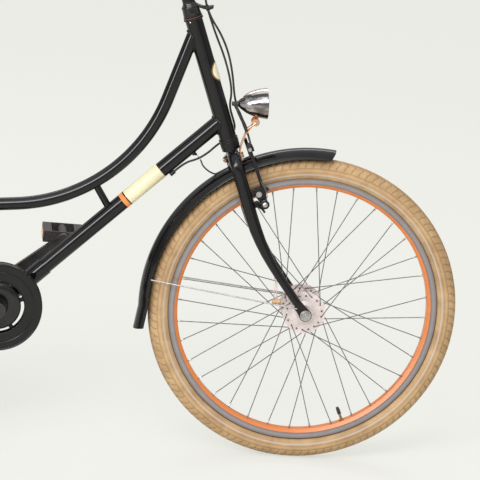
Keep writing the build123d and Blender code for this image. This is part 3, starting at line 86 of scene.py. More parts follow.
def steer(places):
    """Places given ahead of, left of and along the steering axis, as points in the frame's axes."""
    return STEER_FOOT + np.asarray(places, float) @ np.array([STEER_AHEAD, LEFT, STEER_UP])


def unit(vectors):
    """Vectors of length one along the last axis."""
    return vectors / np.linalg.norm(vectors, axis=-1, keepdims=True)


def squared(value, power):
    """A sine or cosine raised to a power, its sign kept: under 1, it squares a circle's corners."""
    return np.sign(value) * np.abs(value) ** power


def turn_round(steps):
    """Even angles once round a circle."""
    return np.linspace(0, 2 * pi, steps, endpoint=False)


def wheel_way(angle):
    """Directions in the wheels' plane, at angles counted from ahead towards up."""
    return np.stack([np.cos(angle), 0 * angle, np.sin(angle)], -1)


# ---------------------------------------------------------------- camera and studio
CAMERA_AT = Vector((-0.30753, -5.60793, 1.90228))
CAMERA_YAW = -0.12743
CAMERA_PITCH = -0.24923
CAMERA_ROLL = 0.10839
CAMERA_LENS = 210.0
CAMERA_SENSOR = 36.0
FLOOR_COLOUR = (0.72, 0.727, 0.685)
BACKGROUND = (0.823, 0.831, 0.783)
FLOOR_EVEN_SHARE = 0.7        # of the floor's seen colour, the part that no lamp changes
FLOOR_HALF = 40.0
SKY_LEVELS = [(0.0, 0.22), (0.25, 0.45), (0.75, 1.0)]   # height of the direction looked in, and brightness
SKY_STRENGTH = 1.15
SUN_STRENGTH = 0.6


def make_camera():
    """The camera on the drive side, ahead of the cranks, looking down and rolled a little."""
    data = bpy.data.cameras.new("camera")
    data.lens = CAMERA_LENS
    data.sensor_width = CAMERA_SENSOR
    camera = bpy.data.objects.new("camera", data)
    bpy.context.scene.collection.objects.link(camera)
    turn = (Matrix.Rotation(CAMERA_YAW, 4, "Z") @ Matrix.Rotation(CAMERA_PITCH + pi / 2, 4, "X")
            @ Matrix.Rotation(CAMERA_ROLL, 4, "Z"))
    camera.matrix_world = Matrix.Translation(CAMERA_AT) @ turn
    bpy.context.scene.camera = camera


def make_lamp(name, place, target, width, height, power, roll=0.0):
    """A soft rectangular lamp that points from its place at a target, turned by `roll` about that line."""
    data = bpy.data.lights.new(name, "AREA")
    data.shape = "RECTANGLE"
    data.size = width
    data.size_y = height
    data.energy = power
    lamp = bpy.data.objects.new(name, data)
    way = Vector(target) - Vector(place)
    lamp.matrix_world = (Matrix.Translation(place) @ way.to_track_quat("-Z", "Y").to_matrix().to_4x4()
                         @ Matrix.Rotation(roll, 4, "Z"))
    bpy.context.scene.collection.objects.link(lamp)


def floor_look():
    """Pale matt floor; to the camera and to glosses, most of its colour doesn't depend on the lamps."""
    material = bpy.data.materials.new("floor")
    material.use_nodes = True
    tree = material.node_tree
    shader = tree.nodes["Principled BSDF"]
    shader.inputs["Base Color"].default_value = (*FLOOR_COLOUR, 1)
    shader.inputs["Roughness"].default_value = 1.0
    shader.inputs["Specular IOR Level"].default_value = 0.0
    even = tree.nodes.new("ShaderNodeEmission")
    even.inputs["Color"].default_value = (*BACKGROUND, 1)
    path = tree.nodes.new("ShaderNodeLightPath")
    seen = tree.nodes.new("ShaderNodeMath")
    seen.operation = "MAXIMUM"
    tree.links.new(path.outputs["Is Camera Ray"], seen.inputs[0])
    tree.links.new(path.outputs["Is Glossy Ray"], seen.inputs[1])
    share = tree.nodes.new("ShaderNodeMath")
    share.operation = "MULTIPLY"
    share.inputs[1].default_value = FLOOR_EVEN_SHARE
    tree.links.new(seen.outputs["Value"], share.inputs[0])
    mixed = tree.nodes.new("ShaderNodeMixShader")
    tree.links.new(share.outputs["Value"], mixed.inputs["Fac"])
    tree.links.new(shader.outputs["BSDF"], mixed.inputs[1])
    tree.links.new(even.outputs["Emission"], mixed.inputs[2])
    tree.links.new(mixed.outputs["Shader"], tree.nodes["Material Output"].inputs["Surface"])
    return material


def make_sky():
    """A soft sky: dim near the horizon, bright overhead."""
    world = bpy.data.worlds.new("sky")
    world.use_nodes = True
    tree = world.node_tree
    place = tree.nodes.new("ShaderNodeTexCoord")
    parts = tree.nodes.new("ShaderNodeSeparateXYZ")
    tree.links.new(place.outputs["Generated"], parts.inputs["Vector"])
    ramp = tree.nodes.new("ShaderNodeValToRGB")
    elements = ramp.color_ramp.elements
    elements.new(0.5)
    for element, (height, level) in zip(elements, SKY_LEVELS):
        element.position = height
        element.color = (level, level, level, 1)
    tree.links.new(parts.outputs["Z"], ramp.inputs["Fac"])
    tree.links.new(ramp.outputs["Color"], tree.nodes["Background"].inputs["Color"])
    tree.nodes["Background"].inputs["Strength"].default_value = SKY_STRENGTH
    return world


def make_studio():
    """A pale floor under a soft sky, a weak wide sun, a long slanting lamp on the drive side, and a small
    lamp beyond the bicycle."""
    scene = bpy.context.scene
    scene.view_settings.view_transform = "Standard"
    corners = [(-1, -1), (1, -1), (1, 1), (-1, 1)]
    mesh = bpy.data.meshes.new("floor")
    mesh.from_pydata([(x * FLOOR_HALF, y * FLOOR_HALF, 0) for x, y in corners], [], [(0, 1, 2, 3)])
    floor = bpy.data.objects.new("floor", mesh)
    scene.collection.objects.link(floor)
    mesh.materials.append(floor_look())
    scene.world = make_sky()
    sun = bpy.data.lights.new("sun", "SUN")
    sun.energy = SUN_STRENGTH
    sun.angle = radians(50)
    lamp = bpy.data.objects.new("sun", sun)
    lamp.matrix_world = Matrix.Rotation(radians(48), 4, "X") @ Matrix.Rotation(radians(-12), 4, "Y")
    scene.collection.objects.link(lamp)
    make_lamp("slanting_lamp", (-1.5, -2.9, 2.1), (0.1, 0.0, 0.6), 4.2, 1.0, 130, radians(38))
    make_lamp("back_lamp", (0.1, 2.6, 3.2), (0.0, 0.0, 0.5), 3.2, 0.3, 22)


# ---------------------------------------------------------------- surfaces
def grid_faces(rows, columns, wrap_rows, count):
    """Quads between neighbouring rows and columns of `count` equal grids, as corner numbers; the last column
    is the first one's neighbour."""
    row, column = np.meshgrid(np.arange(rows if wrap_rows else rows - 1), np.arange(columns), indexing="ij")
    next_row, next_column = (row + 1) % rows, (column + 1) % columns
    quads = np.stack([row * columns + column, next_row * columns + column,
                      next_row * columns + next_column, row * columns + next_column], -1).reshape(1, -1, 4)
    return (quads + np.arange(count)[:, None, None] * rows * columns).reshape(-1, 4)


def surface(points, wrap_rows=False, capped=True):
    """A batch of equal grids as (vertices, faces); open rows may be closed by a face at each end."""
    points = np.asarray(points, float)
    if points.ndim == 3:
        points = points[None]
    count, rows, columns = points.shape[:3]
    faces = grid_faces(rows, columns, wrap_rows, count).tolist()
    if capped and not wrap_rows:
        starts = np.arange(count)[:, None] * rows * columns
        first = starts + np.arange(columns)[None, :]
        last = starts + (rows - 1) * columns + np.arange(columns)[None, ::-1]
        faces += first.tolist() + last.tolist()
    return points.reshape(-1, 3), faces


MERGE = 1e-7                  # distance under which a surface's doubled points are one


def piece(name, body, material, surfaces, crease=40.0):
    """One object from several surfaces: doubles merged, faces turned outwards, creases kept sharp."""
    vertices, faces, start = [], [], 0
    for points, quads in surfaces:
        vertices.append(points)
        faces += [[corner + start for corner in face] for face in quads]
        start += len(points)
    mesh = bpy.data.meshes.new(name)
    mesh.from_pydata(np.concatenate(vertices), [], faces)
    work = bmesh.new()
    work.from_mesh(mesh)
    bmesh.ops.remove_doubles(work, verts=work.verts, dist=MERGE)
    bmesh.ops.recalc_face_normals(work, faces=work.faces)
    work.to_mesh(mesh)
    work.free()
    mesh.shade_smooth()
    mesh.set_sharp_from_angle(angle=radians(crease))
    mesh.materials.append(material)
    made = bpy.data.objects.new(name, mesh)
    bpy.context.scene.collection.objects.link(made)
    if body:
        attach(made, body)
    return made


def tubes(paths, radii, sides=12, up=(0.0, 1.0, 0.0), flat=1.0):
    """Circles carried along paths: at each station, radius times the cosine and sine of an even angle,
    along two directions square to the path; `flat` shortens the direction square to `up`."""
    paths = np.asarray(paths, float)
    if paths.ndim == 2:
        paths = paths[None]
    along = unit(np.gradient(paths, axis=1))
    across = unit(np.cross(along, np.asarray(up, float)))
    over = np.cross(across, along)
    radii = np.broadcast_to(np.asarray(radii, float), paths.shape[:2])[..., None, None]
    angle = turn_round(sides)[:, None]
    return paths[:, :, None] + radii * (np.cos(angle) * across[:, :, None] * flat
                                        + np.sin(angle) * over[:, :, None])


def carried(profile, path, up=(0.0, 1.0, 0.0)):
    """A profile carried along a path: its first number square to `up` and the path, its second along `up`."""
    path = np.asarray(path, float)
    along = unit(np.gradient(path, axis=0))
    across = unit(np.cross(along, np.asarray(up, float)))
    over = np.cross(across, along)
    profile = np.asarray(profile, float)
    return path[:, None] + profile[None, :, :1] * across[:, None] + profile[None, :, 1:] * over[:, None]


def turned(profile, centre, axis, steps):
    """A profile of (radius, place along the axis) turned about an axis through a centre."""
    axis = unit(np.asarray(axis, float))
    side = unit(np.cross(axis, [0.31, 0.52, 0.79]))
    front = np.cross(axis, side)
    profile = np.asarray(profile, float)
    angle = turn_round(steps)[None, :, None]
    spread = np.cos(angle) * side + np.sin(angle) * front
    return np.asarray(centre, float) + profile[:, None, 1:] * axis + profile[:, None, :1] * spread


def torus(centre, axis, radius, thickness, steps, sides):
    """A round bead: a circle of `thickness` whose middle goes round the axis at `radius`."""
    angle = turn_round(sides)
    profile = np.stack([radius + thickness * np.cos(angle), thickness * np.sin(angle)], -1)
    return surface(turned(profile, centre, axis, steps), wrap_rows=True)


def closed_bead(line, radius, aside, sides=8):
    """A round bead along a closed line: at each point a circle square to the line, whose first direction is
    square to `aside` too."""
    along = unit(np.roll(line, -1, 0) - np.roll(line, 1, 0))
    across = unit(np.cross(along, aside))
    over = np.cross(across, along)
    radius = np.broadcast_to(radius, len(line))[:, None, None]
    angle = turn_round(sides)[:, None]
    return surface(line[:, None] + radius * (np.cos(angle) * across[:, None] + np.sin(angle) * over[:, None]),
                   wrap_rows=True)


def eased(points, samples):
    """Points along an even curve through some places: on each stretch, the cubic that leaves and reaches its
    ends along the line between their neighbours."""
    points = np.asarray(points, float)
    padded = np.concatenate([2 * points[:1] - points[1:2], points, 2 * points[-1:] - points[-2:-1]])
    a, b, c, d = (part[:, None] for part in (padded[:-3], padded[1:-2], padded[2:-1], padded[3:]))
    t = np.linspace(0, 1, samples, endpoint=False)[None, :, None]
    curve = 0.5 * (2 * b + (c - a) * t + (2 * a - 5 * b + 4 * c - d) * t ** 2
                   + (3 * b - a - 3 * c + d) * t ** 3)
    return np.concatenate([curve.reshape(-1, points.shape[1]), points[-1:]])


# ---------------------------------------------------------------- materials
class Look:
    """A procedural finish: nodes are added by name and joined by `join`."""

    def __init__(self, name):
        self.material = bpy.data.materials.new(name)
        self.material.use_nodes = True
        self.tree = self.material.node_tree
        self.shader = self.tree.nodes["Principled BSDF"]
        self.coordinates = self.add("ShaderNodeTexCoord")

    def add(self, kind, **values):
        """A node with its attributes and its sockets set."""
        node = self.tree.nodes.new(kind)
        for key, value in values.items():
            if hasattr(node, key):
                setattr(node, key, value)
            else:
                node.inputs[key.replace("_", " ")].default_value = value
        return node

    def join(self, source, target):
        """A link from one socket to another."""
        self.tree.links.new(source, target)

    def colour(self, source):
        """The surface's colour."""
        self.join(source, self.shader.inputs["Base Color"])

    def roughness(self, source):
        """The surface's roughness."""
        self.join(source, self.shader.inputs["Roughness"])

    def set(self, **values):
        """Values that are the same all over the surface, on the shader's own sockets."""
        for key, value in values.items():
            self.shader.inputs[key.replace("_", " ")].default_value = value

    def noise(self, scale, detail=4.0, vector=None, roughness=0.55):
        """Soft noise, by default on object coordinates."""
        node = self.add("ShaderNodeTexNoise", Scale=scale, Detail=detail, Roughness=roughness)
        self.join(vector or self.coordinates.outputs["Object"], node.inputs["Vector"])
        return node.outputs["Fac"]

    def ramp(self, source, stops):
        """Colours at places from 0 to 1, blended evenly between them."""
        node = self.add("ShaderNodeValToRGB")
        elements = node.color_ramp.elements
        while len(elements) < len(stops):
            elements.new(0.5)
        for element, (place, colour) in zip(elements, stops):
            element.position = place
            element.color = (*colour, 1)
        self.join(source, node.inputs["Fac"])
        return node.outputs["Color"]

    def math(self, operation, first, second):
        """A sum or a product of two sockets or numbers."""
        node = self.add("ShaderNodeMath", operation=operation)
        for socket, value in zip(node.inputs, (first, second)):
            if isinstance(value, (int, float)):
                socket.default_value = value
            else:
                self.join(value, socket)
        return node.outputs["Value"]

    def span(self, source, low, high, to_low=0.0, to_high=1.0):
        """A value carried from one range to another and held at its ends."""
        node = self.add("ShaderNodeMapRange")
        for key, value in zip(("From Min", "From Max", "To Min", "To Max"), (low, high, to_low, to_high)):
            node.inputs[key].default_value = value
        self.join(source, node.inputs["Value"])
        return node.outputs["Result"]

    def mix(self, share, first, second, blend="MIX"):
        """Two colours mixed by a share."""
        node = self.add("ShaderNodeMix", data_type="RGBA", blend_type=blend)
        sockets = {s.identifier: s for s in node.inputs}
        for key, value in (("Factor_Float", share), ("A_Color", first), ("B_Color", second)):
            if isinstance(value, (int, float)):
                sockets[key].default_value = value
            elif isinstance(value, tuple):
                sockets[key].default_value = (*value, 1)
            else:
                self.join(value, sockets[key])
        return next(s for s in node.outputs if s.identifier == "Result_Color")

    def moved(self, centre, scale=(1, 1, 1), turn=(0, 0, 0)):
        """Object coordinates counted from a centre, scaled along the axes and turned."""
        node = self.add("ShaderNodeMapping")
        place = Matrix.Diagonal((*scale, 1)).to_3x3() @ Vector(centre)
        node.inputs["Location"].default_value = -place
        node.inputs["Scale"].default_value = scale
        node.inputs["Rotation"].default_value = turn
        self.join(self.coordinates.outputs["Object"], node.inputs["Vector"])
        return node.outputs["Vector"]

    def along(self, centre, way):
        """Distance from a centre along a direction."""
        node = self.add("ShaderNodeVectorMath", operation="DOT_PRODUCT")
        self.join(self.moved(centre), node.inputs[0])
        node.inputs[1].default_value = tuple(float(value) for value in way)
        return node.outputs["Value"]

    def radius(self, centre):
        """Distance from the Y axis through a centre."""
        node = self.add("ShaderNodeVectorMath", operation="LENGTH")
        self.join(self.moved(centre, (1, 0, 1)), node.inputs[0])
        return node.outputs["Value"]

    def bump(self, height, strength, distance):
        """Fine relief."""
        node = self.add("ShaderNodeBump", Strength=strength, Distance=distance)
        self.join(height, node.inputs["Height"])
        self.join(node.outputs["Normal"], self.shader.inputs["Normal"])


GRAIN_HEIGHT = 0.0004         # of the plain finishes' fine relief


def plain_look(name, dark, pale, rough, metal, scale, grain, grain_scale, rough_spread, specular):
    """Colour between two tones by soft noise, roughness that varies with it, and a fine grain in relief."""
    look = Look(name)
    cloud = look.noise(scale)
    look.colour(look.ramp(cloud, [(0.3, dark), (0.7, pale)]))
    look.roughness(look.span(cloud, 0.3, 0.7, rough - rough_spread, rough + rough_spread))
    look.set(Metallic=metal, Specular_IOR_Level=specular)
    look.bump(look.noise(grain_scale, 2.0), grain, GRAIN_HEIGHT)
    return look


# name: darker tone, paler tone, roughness, metal, scale of the tones, strength and scale of the grain
TONES = {
    "frame_paint": ((0.003, 0.0025, 0.003), (0.006, 0.005, 0.0055), 0.08, 0.0, 30, 0.02, 300),
    "mudguard_paint": ((0.003, 0.0025, 0.003), (0.007, 0.006, 0.0065), 0.12, 0.0, 30, 0.03, 250),
    "black_gloss": ((0.004, 0.0035, 0.004), (0.010, 0.009, 0.009), 0.18, 0.0, 60, 0.06, 400),
    "black_metal": ((0.005, 0.0045, 0.005), (0.011, 0.010, 0.010), 0.30, 0.0, 60, 0.12, 900),
    "chrome": ((0.62, 0.58, 0.57), (0.80, 0.77, 0.76), 0.10, 1.0, 25, 0.03, 500),
    "trim_chrome": ((0.50, 0.44, 0.42), (0.72, 0.66, 0.64), 0.14, 1.0, 30, 0.15, 900),
    "steel": ((0.42, 0.40, 0.39), (0.60, 0.58, 0.57), 0.30, 1.0, 120, 0.10, 1500),
    "spoke_steel": ((0.12, 0.115, 0.11), (0.26, 0.25, 0.24), 0.34, 0.8, 200, 0.15, 900),
    "nipple_brass": ((0.30, 0.29, 0.28), (0.48, 0.46, 0.44), 0.30, 1.0, 200, 0.15, 900),
    "hub_alloy": ((0.56, 0.48, 0.46), (0.70, 0.62, 0.60), 0.46, 0.35, 70, 0.15, 1500),
    "brass": ((0.36, 0.19, 0.08), (0.62, 0.40, 0.20), 0.32, 1.0, 150, 0.15, 1500),
    # copper, on the lamp's bracket and lugs, is partly their warm metal and partly a painted warm reflection
    "copper": ((0.55, 0.26, 0.13), (0.86, 0.56, 0.38), 0.30, 0.85, 180, 0.10, 900),
    "crank_black": ((0.012, 0.011, 0.011), (0.024, 0.021, 0.020), 0.30, 0.0, 60, 0.10, 900),
    "black_rubber": ((0.012, 0.012, 0.012), (0.030, 0.028, 0.027), 0.62, 0.0, 200, 0.3, 1200),
    "red_brown_seal": ((0.14, 0.030, 0.018), (0.24, 0.060, 0.035), 0.40, 0.0, 60, 0.15, 900),
    "cable_black": ((0.010, 0.010, 0.011), (0.022, 0.021, 0.022), 0.38, 0.0, 200, 0.10, 1500),
    "wire_sheath": ((0.40, 0.30, 0.28), (0.56, 0.45, 0.42), 0.50, 0.0, 60, 0.15, 900),
    "pedal_plastic": ((0.014, 0.012, 0.011), (0.035, 0.028, 0.024), 0.50, 0.0, 150, 0.25, 1200),
    "black_plastic": ((0.012, 0.011, 0.011), (0.026, 0.023, 0.022), 0.42, 0.0, 150, 0.20, 1200),
    "tan_plastic": ((0.42, 0.26, 0.13), (0.56, 0.36, 0.20), 0.45, 0.0, 60, 0.15, 900),
    "lamp_red": ((0.30, 0.008, 0.006), (0.45, 0.015, 0.012), 0.14, 0.0, 60, 0.05, 400),
    "amber_lens": ((0.70, 0.20, 0.015), (0.85, 0.32, 0.03), 0.15, 0.0, 60, 0.15, 900),
    "lamp_glass": ((0.85, 0.87, 0.86), (0.95, 0.96, 0.95), 0.06, 0.0, 40, 0.05, 300),
    "badge_cream": ((0.62, 0.56, 0.40), (0.76, 0.70, 0.52), 0.30, 0.0, 60, 0.15, 900),
    "seam_thread": ((0.50, 0.38, 0.22), (0.66, 0.52, 0.33), 0.70, 0.0, 60, 0.15, 900),
}
SPECULAR = {"frame_paint": 0.38, "mudguard_paint": 0.3, "black_metal": 0.3}   # the others have 0.5
ROUGH_SPREAD = {"copper": 0.08}   # the others have 0.03
LOOKS = {}


def make_looks():
    """Every finish that more than one piece or node may wear, by name."""
    for name, tones in TONES.items():
        look = plain_look(name, *tones, ROUGH_SPREAD.get(name, 0.03), SPECULAR.get(name, 0.5))
        if name == "lamp_glass":
            look.set(Transmission_Weight=0.85, IOR=1.5)
        LOOKS[name] = look.material
    LOOKS["front_rim"] = rim_look("front_rim_finish", FRONT_AXLE)
    LOOKS["rear_rim"] = rim_look("rear_rim_finish", REAR_AXLE)
    LOOKS["saddle_leather"] = leather_look("saddle_hide", (0.085, 0.036, 0.016), (0.15, 0.066, 0.028),
                                           (0.24, 0.115, 0.052))
    LOOKS["grip_rubber"] = leather_look("grip_hide", (0.10, 0.042, 0.018), (0.17, 0.078, 0.034),
                                        (0.27, 0.135, 0.062))


def rim_look(name, axle):
    """Machined side walls with fine turning lines, a bright outer edge and an orange inner band."""
    look = Look(name)
    radius = look.radius(axle)
    place = look.span(radius, 0.262, 0.286)
    zones = look.ramp(place, [(0.0, (0.58, 0.17, 0.035)), (0.36, (0.66, 0.20, 0.045)),
                              (0.385, (0.25, 0.20, 0.20)), (0.46, (0.34, 0.31, 0.33)),
                              (0.62, (0.44, 0.40, 0.40)), (0.86, (0.30, 0.28, 0.29)),
                              (0.93, (0.70, 0.68, 0.68)), (1.0, (0.62, 0.60, 0.60))])
    lines = look.add("ShaderNodeCombineXYZ")
    look.join(look.math("MULTIPLY", radius, 2600.0), lines.inputs["X"])
    turning = look.noise(1.0, 3.0, lines.outputs["Vector"])
    cloud = look.noise(45.0)
    streaks = look.math("ADD", look.math("MULTIPLY", turning, 0.6), look.math("MULTIPLY", cloud, 0.4))
    shade = look.ramp(streaks, [(0.3, (0.78, 0.76, 0.75)), (0.7, (1.0, 1.0, 1.0))])
    look.colour(look.mix(1.0, zones, shade, "MULTIPLY"))
    metal = look.ramp(place, [(0.0, (0, 0, 0)), (0.36, (0, 0, 0)), (0.39, (0.85, 0.85, 0.85)),
                              (1.0, (0.9, 0.9, 0.9))])
    look.join(metal, look.shader.inputs["Metallic"])
    look.roughness(look.span(turning, 0.3, 0.7, 0.26, 0.42))
    look.bump(turning, 0.12, 0.0003)
    return look.material


def tyre_look(name, axle):
    """Tan rubber in soft rings of tone, with painted shade darkening its grooves, and a pale reflective ring on
    each side.
    """
    look = Look(name)
    radius = look.radius(axle)
    rings = look.add("ShaderNodeCombineXYZ")
    look.join(look.math("MULTIPLY", radius, 260.0), rings.inputs["X"])
    streak = look.noise(1.0, 2.0, rings.outputs["Vector"])
    cloud = look.noise(28.0, 5.0, roughness=0.65)
    tone = look.math("ADD", look.math("MULTIPLY", streak, 0.5), look.math("MULTIPLY", cloud, 0.5))
    tan = look.ramp(tone, [(0.34, (0.26, 0.155, 0.075)), (0.5, (0.39, 0.25, 0.125)),
                           (0.66, (0.52, 0.36, 0.20))])
    place = look.span(radius, 0.282, 0.302)
    bead = look.ramp(place, [(0.0, (0.10, 0.06, 0.035)), (0.09, (0.14, 0.085, 0.05)), (0.17, (1, 1, 1)),
                             (1.0, (1, 1, 1))])
    colour = look.mix(1.0, tan, bead, "MULTIPLY")
    stripe = look.ramp(place, [(0.52, (0, 0, 0)), (0.56, (1, 1, 1)), (0.65, (1, 1, 1)), (0.70, (0, 0, 0))])
    colour = look.mix(look.math("MULTIPLY", stripe, 0.75), colour, (0.42, 0.38, 0.36))
    # painted shade: the grooves' depth darkens the rubber where shade would fall in them
    groove = look.add("ShaderNodeAttribute", attribute_name="groove")
    colour = look.mix(look.math("MULTIPLY", groove.outputs["Fac"], 0.8), colour, (0.13, 0.07, 0.03))
    look.colour(colour)
    look.roughness(look.span(cloud, 0.3, 0.7, 0.62, 0.8))
    look.set(Specular_IOR_Level=0.3)
    look.bump(look.noise(420.0, 4.0), 0.25, 0.0006)
    return look.material


def leather_look(name, dark, pale, worn):
    """Leather: a pebbled grain in relief, with painted shade in the grain's creases, paler where it is worn."""
    look = Look(name)
    cell = look.add("ShaderNodeTexVoronoi", Scale=620.0, feature="DISTANCE_TO_EDGE")
    look.join(look.coordinates.outputs["Object"], cell.inputs["Vector"])
    cloud = look.noise(26.0, 5.0)
    base = look.ramp(cloud, [(0.34, dark), (0.55, pale), (0.72, worn)])
    # painted shade: the colour darkens towards the edges of the grain's cells, its creases
    crease = look.ramp(cell.outputs["Distance"], [(0.0, (0.55, 0.50, 0.46)), (0.09, (1.0, 1.0, 1.0))])
    look.colour(look.mix(1.0, base, crease, "MULTIPLY"))
    look.roughness(look.span(cloud, 0.3, 0.7, 0.40, 0.56))
    look.set(Specular_IOR_Level=0.4)
    folds = look.math("MULTIPLY", look.noise(70.0, 3.0), 0.9)
    look.bump(look.math("ADD", look.span(cell.outputs["Distance"], 0.0, 0.12), folds), 0.35, 0.0007)
    return look.material


# ---------------------------------------------------------------- wheels
TREAD_PITCH = 120             # chevrons round the tyre
TREAD_DEPTH = 0.0011
TREAD_LINE = 0.11             # half width of a chevron's line, in pitches
TREAD_END = 1.30              # section's angle at which the chevrons stop
# the rings' angle round the section, half width and depth
TREAD_RINGS = ((0.34, 0.05, 1.0), (1.33, 0.045, 1.0), (1.62, 0.035, 0.6))


def tread(angle, section):
    """Depth of the tread's grooves, 0 to 1: chevrons whose arms wave across the crown, and rings.

    A chevron's line lies where the angle round the wheel, plus a wave of the section's angle, is a whole
    number of pitches; a ring lies where the section's angle has one value."""
    arm = np.abs(section)
    wave = angle * TREAD_PITCH / (2 * pi) + 0.55 * np.abs(np.sin(arm * 2.6)) + 0.10 * np.sin(section * 9)
    near = np.abs((wave + 0.5) % 1.0 - 0.5)
    lines = np.clip(1.0 - near / TREAD_LINE, 0, 1) * np.clip((TREAD_END - arm) / 0.08, 0, 1)
    rings = sum(depth * np.clip(1.0 - np.abs(arm - place) / half, 0, 1) for place, half, depth in TREAD_RINGS)
    return np.clip(lines + rings, 0, 1)


def make_tyre(end, axle):
    """Tyre: a round section from lip to lip carried round the wheel, sunk where the tread has grooves, and
    closed across its foot inside the rim.

    A point is the axle plus, in the wheel's plane, the section's middle radius and its radius times the
    cosine of the section's angle, and across it the section's radius times that angle's sine."""
    steps, across = 1080, 61
    lip = radians(141.0)
    foot_radius, foot_half = RIM_RADIUS - 0.0016, 0.0105
    angle, part = np.meshgrid(turn_round(steps), np.linspace(-lip, lip, across), indexing="ij")
    groove = tread(angle, part)
    size = TYRE_SECTION - TREAD_DEPTH * groove
    foot = np.ones((steps, 2))
    reach = np.concatenate([TYRE_RADIUS - TYRE_SECTION + size * np.cos(part), foot * foot_radius], 1)
    side = np.concatenate([size * np.sin(part), foot * (foot_half, -foot_half)], 1)
    groove = np.concatenate([groove, foot * 0], 1)
    points = axle + reach[..., None] * wheel_way(angle[:, :1]) + side[..., None] * LEFT
    made = piece(f"{end}_tyre_treaded", f"{end}_wheel", tyre_look(f"{end}_tan_rubber", axle),
                 [surface(points, wrap_rows=True)], crease=70)
    # the grooves' depth, which the tyre's material reads to paint shade in the grooves
    attribute = made.data.attributes.new("groove", "FLOAT", "POINT")
    attribute.data.foreach_set("value", groove.reshape(-1).astype(np.float32))
    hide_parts(f"{end}_tyre")


# flange's radius, flange's middle from the wheel's middle plane, barrel's radius, neck's radius, hub's width
HUBS = {"front": (0.045, 0.031, 0.030, 0.018, 0.100), "rear": (0.043, 0.027, 0.034, 0.0204, 0.130)}
HOLES = 18                    # in each flange
CROSSINGS = 3
HOLE_INSET = 0.008            # from a flange's edge to its circle of holes
FLANGE_HALF = 0.0017          # half of a flange's thickness
SPOKE_RADIUS = 0.00098
SPOKE_REACH = 0.2665          # radius at which the spokes' lines end in the rim


def spoke_ends():
    """Hub angle, rim angle, side and way of the 36 spokes, crossed three times, as arrays."""
    number = np.tile(np.arange(HOLES), 2)
    side = np.repeat([1, -1], HOLES)
    way = np.where(number % 2, 1, -1)
    step = 2 * pi / HOLES
    hub = number * step + np.where(side < 0, step / 2, 0)
    return hub, hub + way * CROSSINGS * step, side, way


def make_spokes(end, axle):
    """Spokes with their elbows and heads, and a nipple where each meets the rim.

    Each spoke is a tube along a path: from its head on one face of the flange, through the hole, round the
    elbow and straight to the rim. Each nipple is a tube whose radius steps along the last of that line."""
    flange, half = HUBS[end][:2]
    hub, rim, side, way = spoke_ends()
    circle = flange - HOLE_INSET
    outward = wheel_way(hub)
    start = circle * outward + (side * (half + way * (FLANGE_HALF + 0.0014)))[:, None] * LEFT
    head = circle * outward + (side * (half - way * (FLANGE_HALF + 0.0012)))[:, None] * LEFT
    finish = SPOKE_REACH * wheel_way(rim) + (side * 0.0025)[:, None] * LEFT
    length = np.linalg.norm(finish - start, axis=-1, keepdims=True)
    run = (finish - start) / length
    bend = start + run * 0.0022
    elbow = start * 0.72 + 0.28 * (head * 0.2 + bend * 0.8)
    paths = axle + np.stack([head, head * 0.6 + start * 0.4, head * 0.2 + start * 0.8, elbow, bend,
                             start + run * 0.006, start + run * length * 0.5, finish - run * 0.004], 1)
    shape = tubes(paths, SPOKE_RADIUS, 8, up=outward[:, None] + 0.37 * LEFT)
    inward = (side * way)[:, None] * LEFT
    heads = axle + np.stack([head - inward * 0.0011, head, head + inward * 0.0006], 1)
    domes = tubes(heads, [0.0009, 0.0021, 0.0021], 10, up=outward[:, None])
    made = piece(f"{end}_spokes_laced", f"{end}_wheel", LOOKS["spoke_steel"],
                 [surface(shape), surface(domes)])
    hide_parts(f"{end}_spokes")
    place = np.array([0.0, 0.001, 0.0035, 0.0036, 0.0105, 0.0115])
    size = np.array([0.0014, 0.0021, 0.0021, 0.0018, 0.0018, 0.0011])
    nipples = axle + finish[:, None] - run[:, None] * (place[None, :, None] + 0.0008)
    piece(f"{end}_nipples", f"{end}_wheel", LOOKS["nipple_brass"],
          [surface(tubes(nipples, size, 8, up=LEFT))])


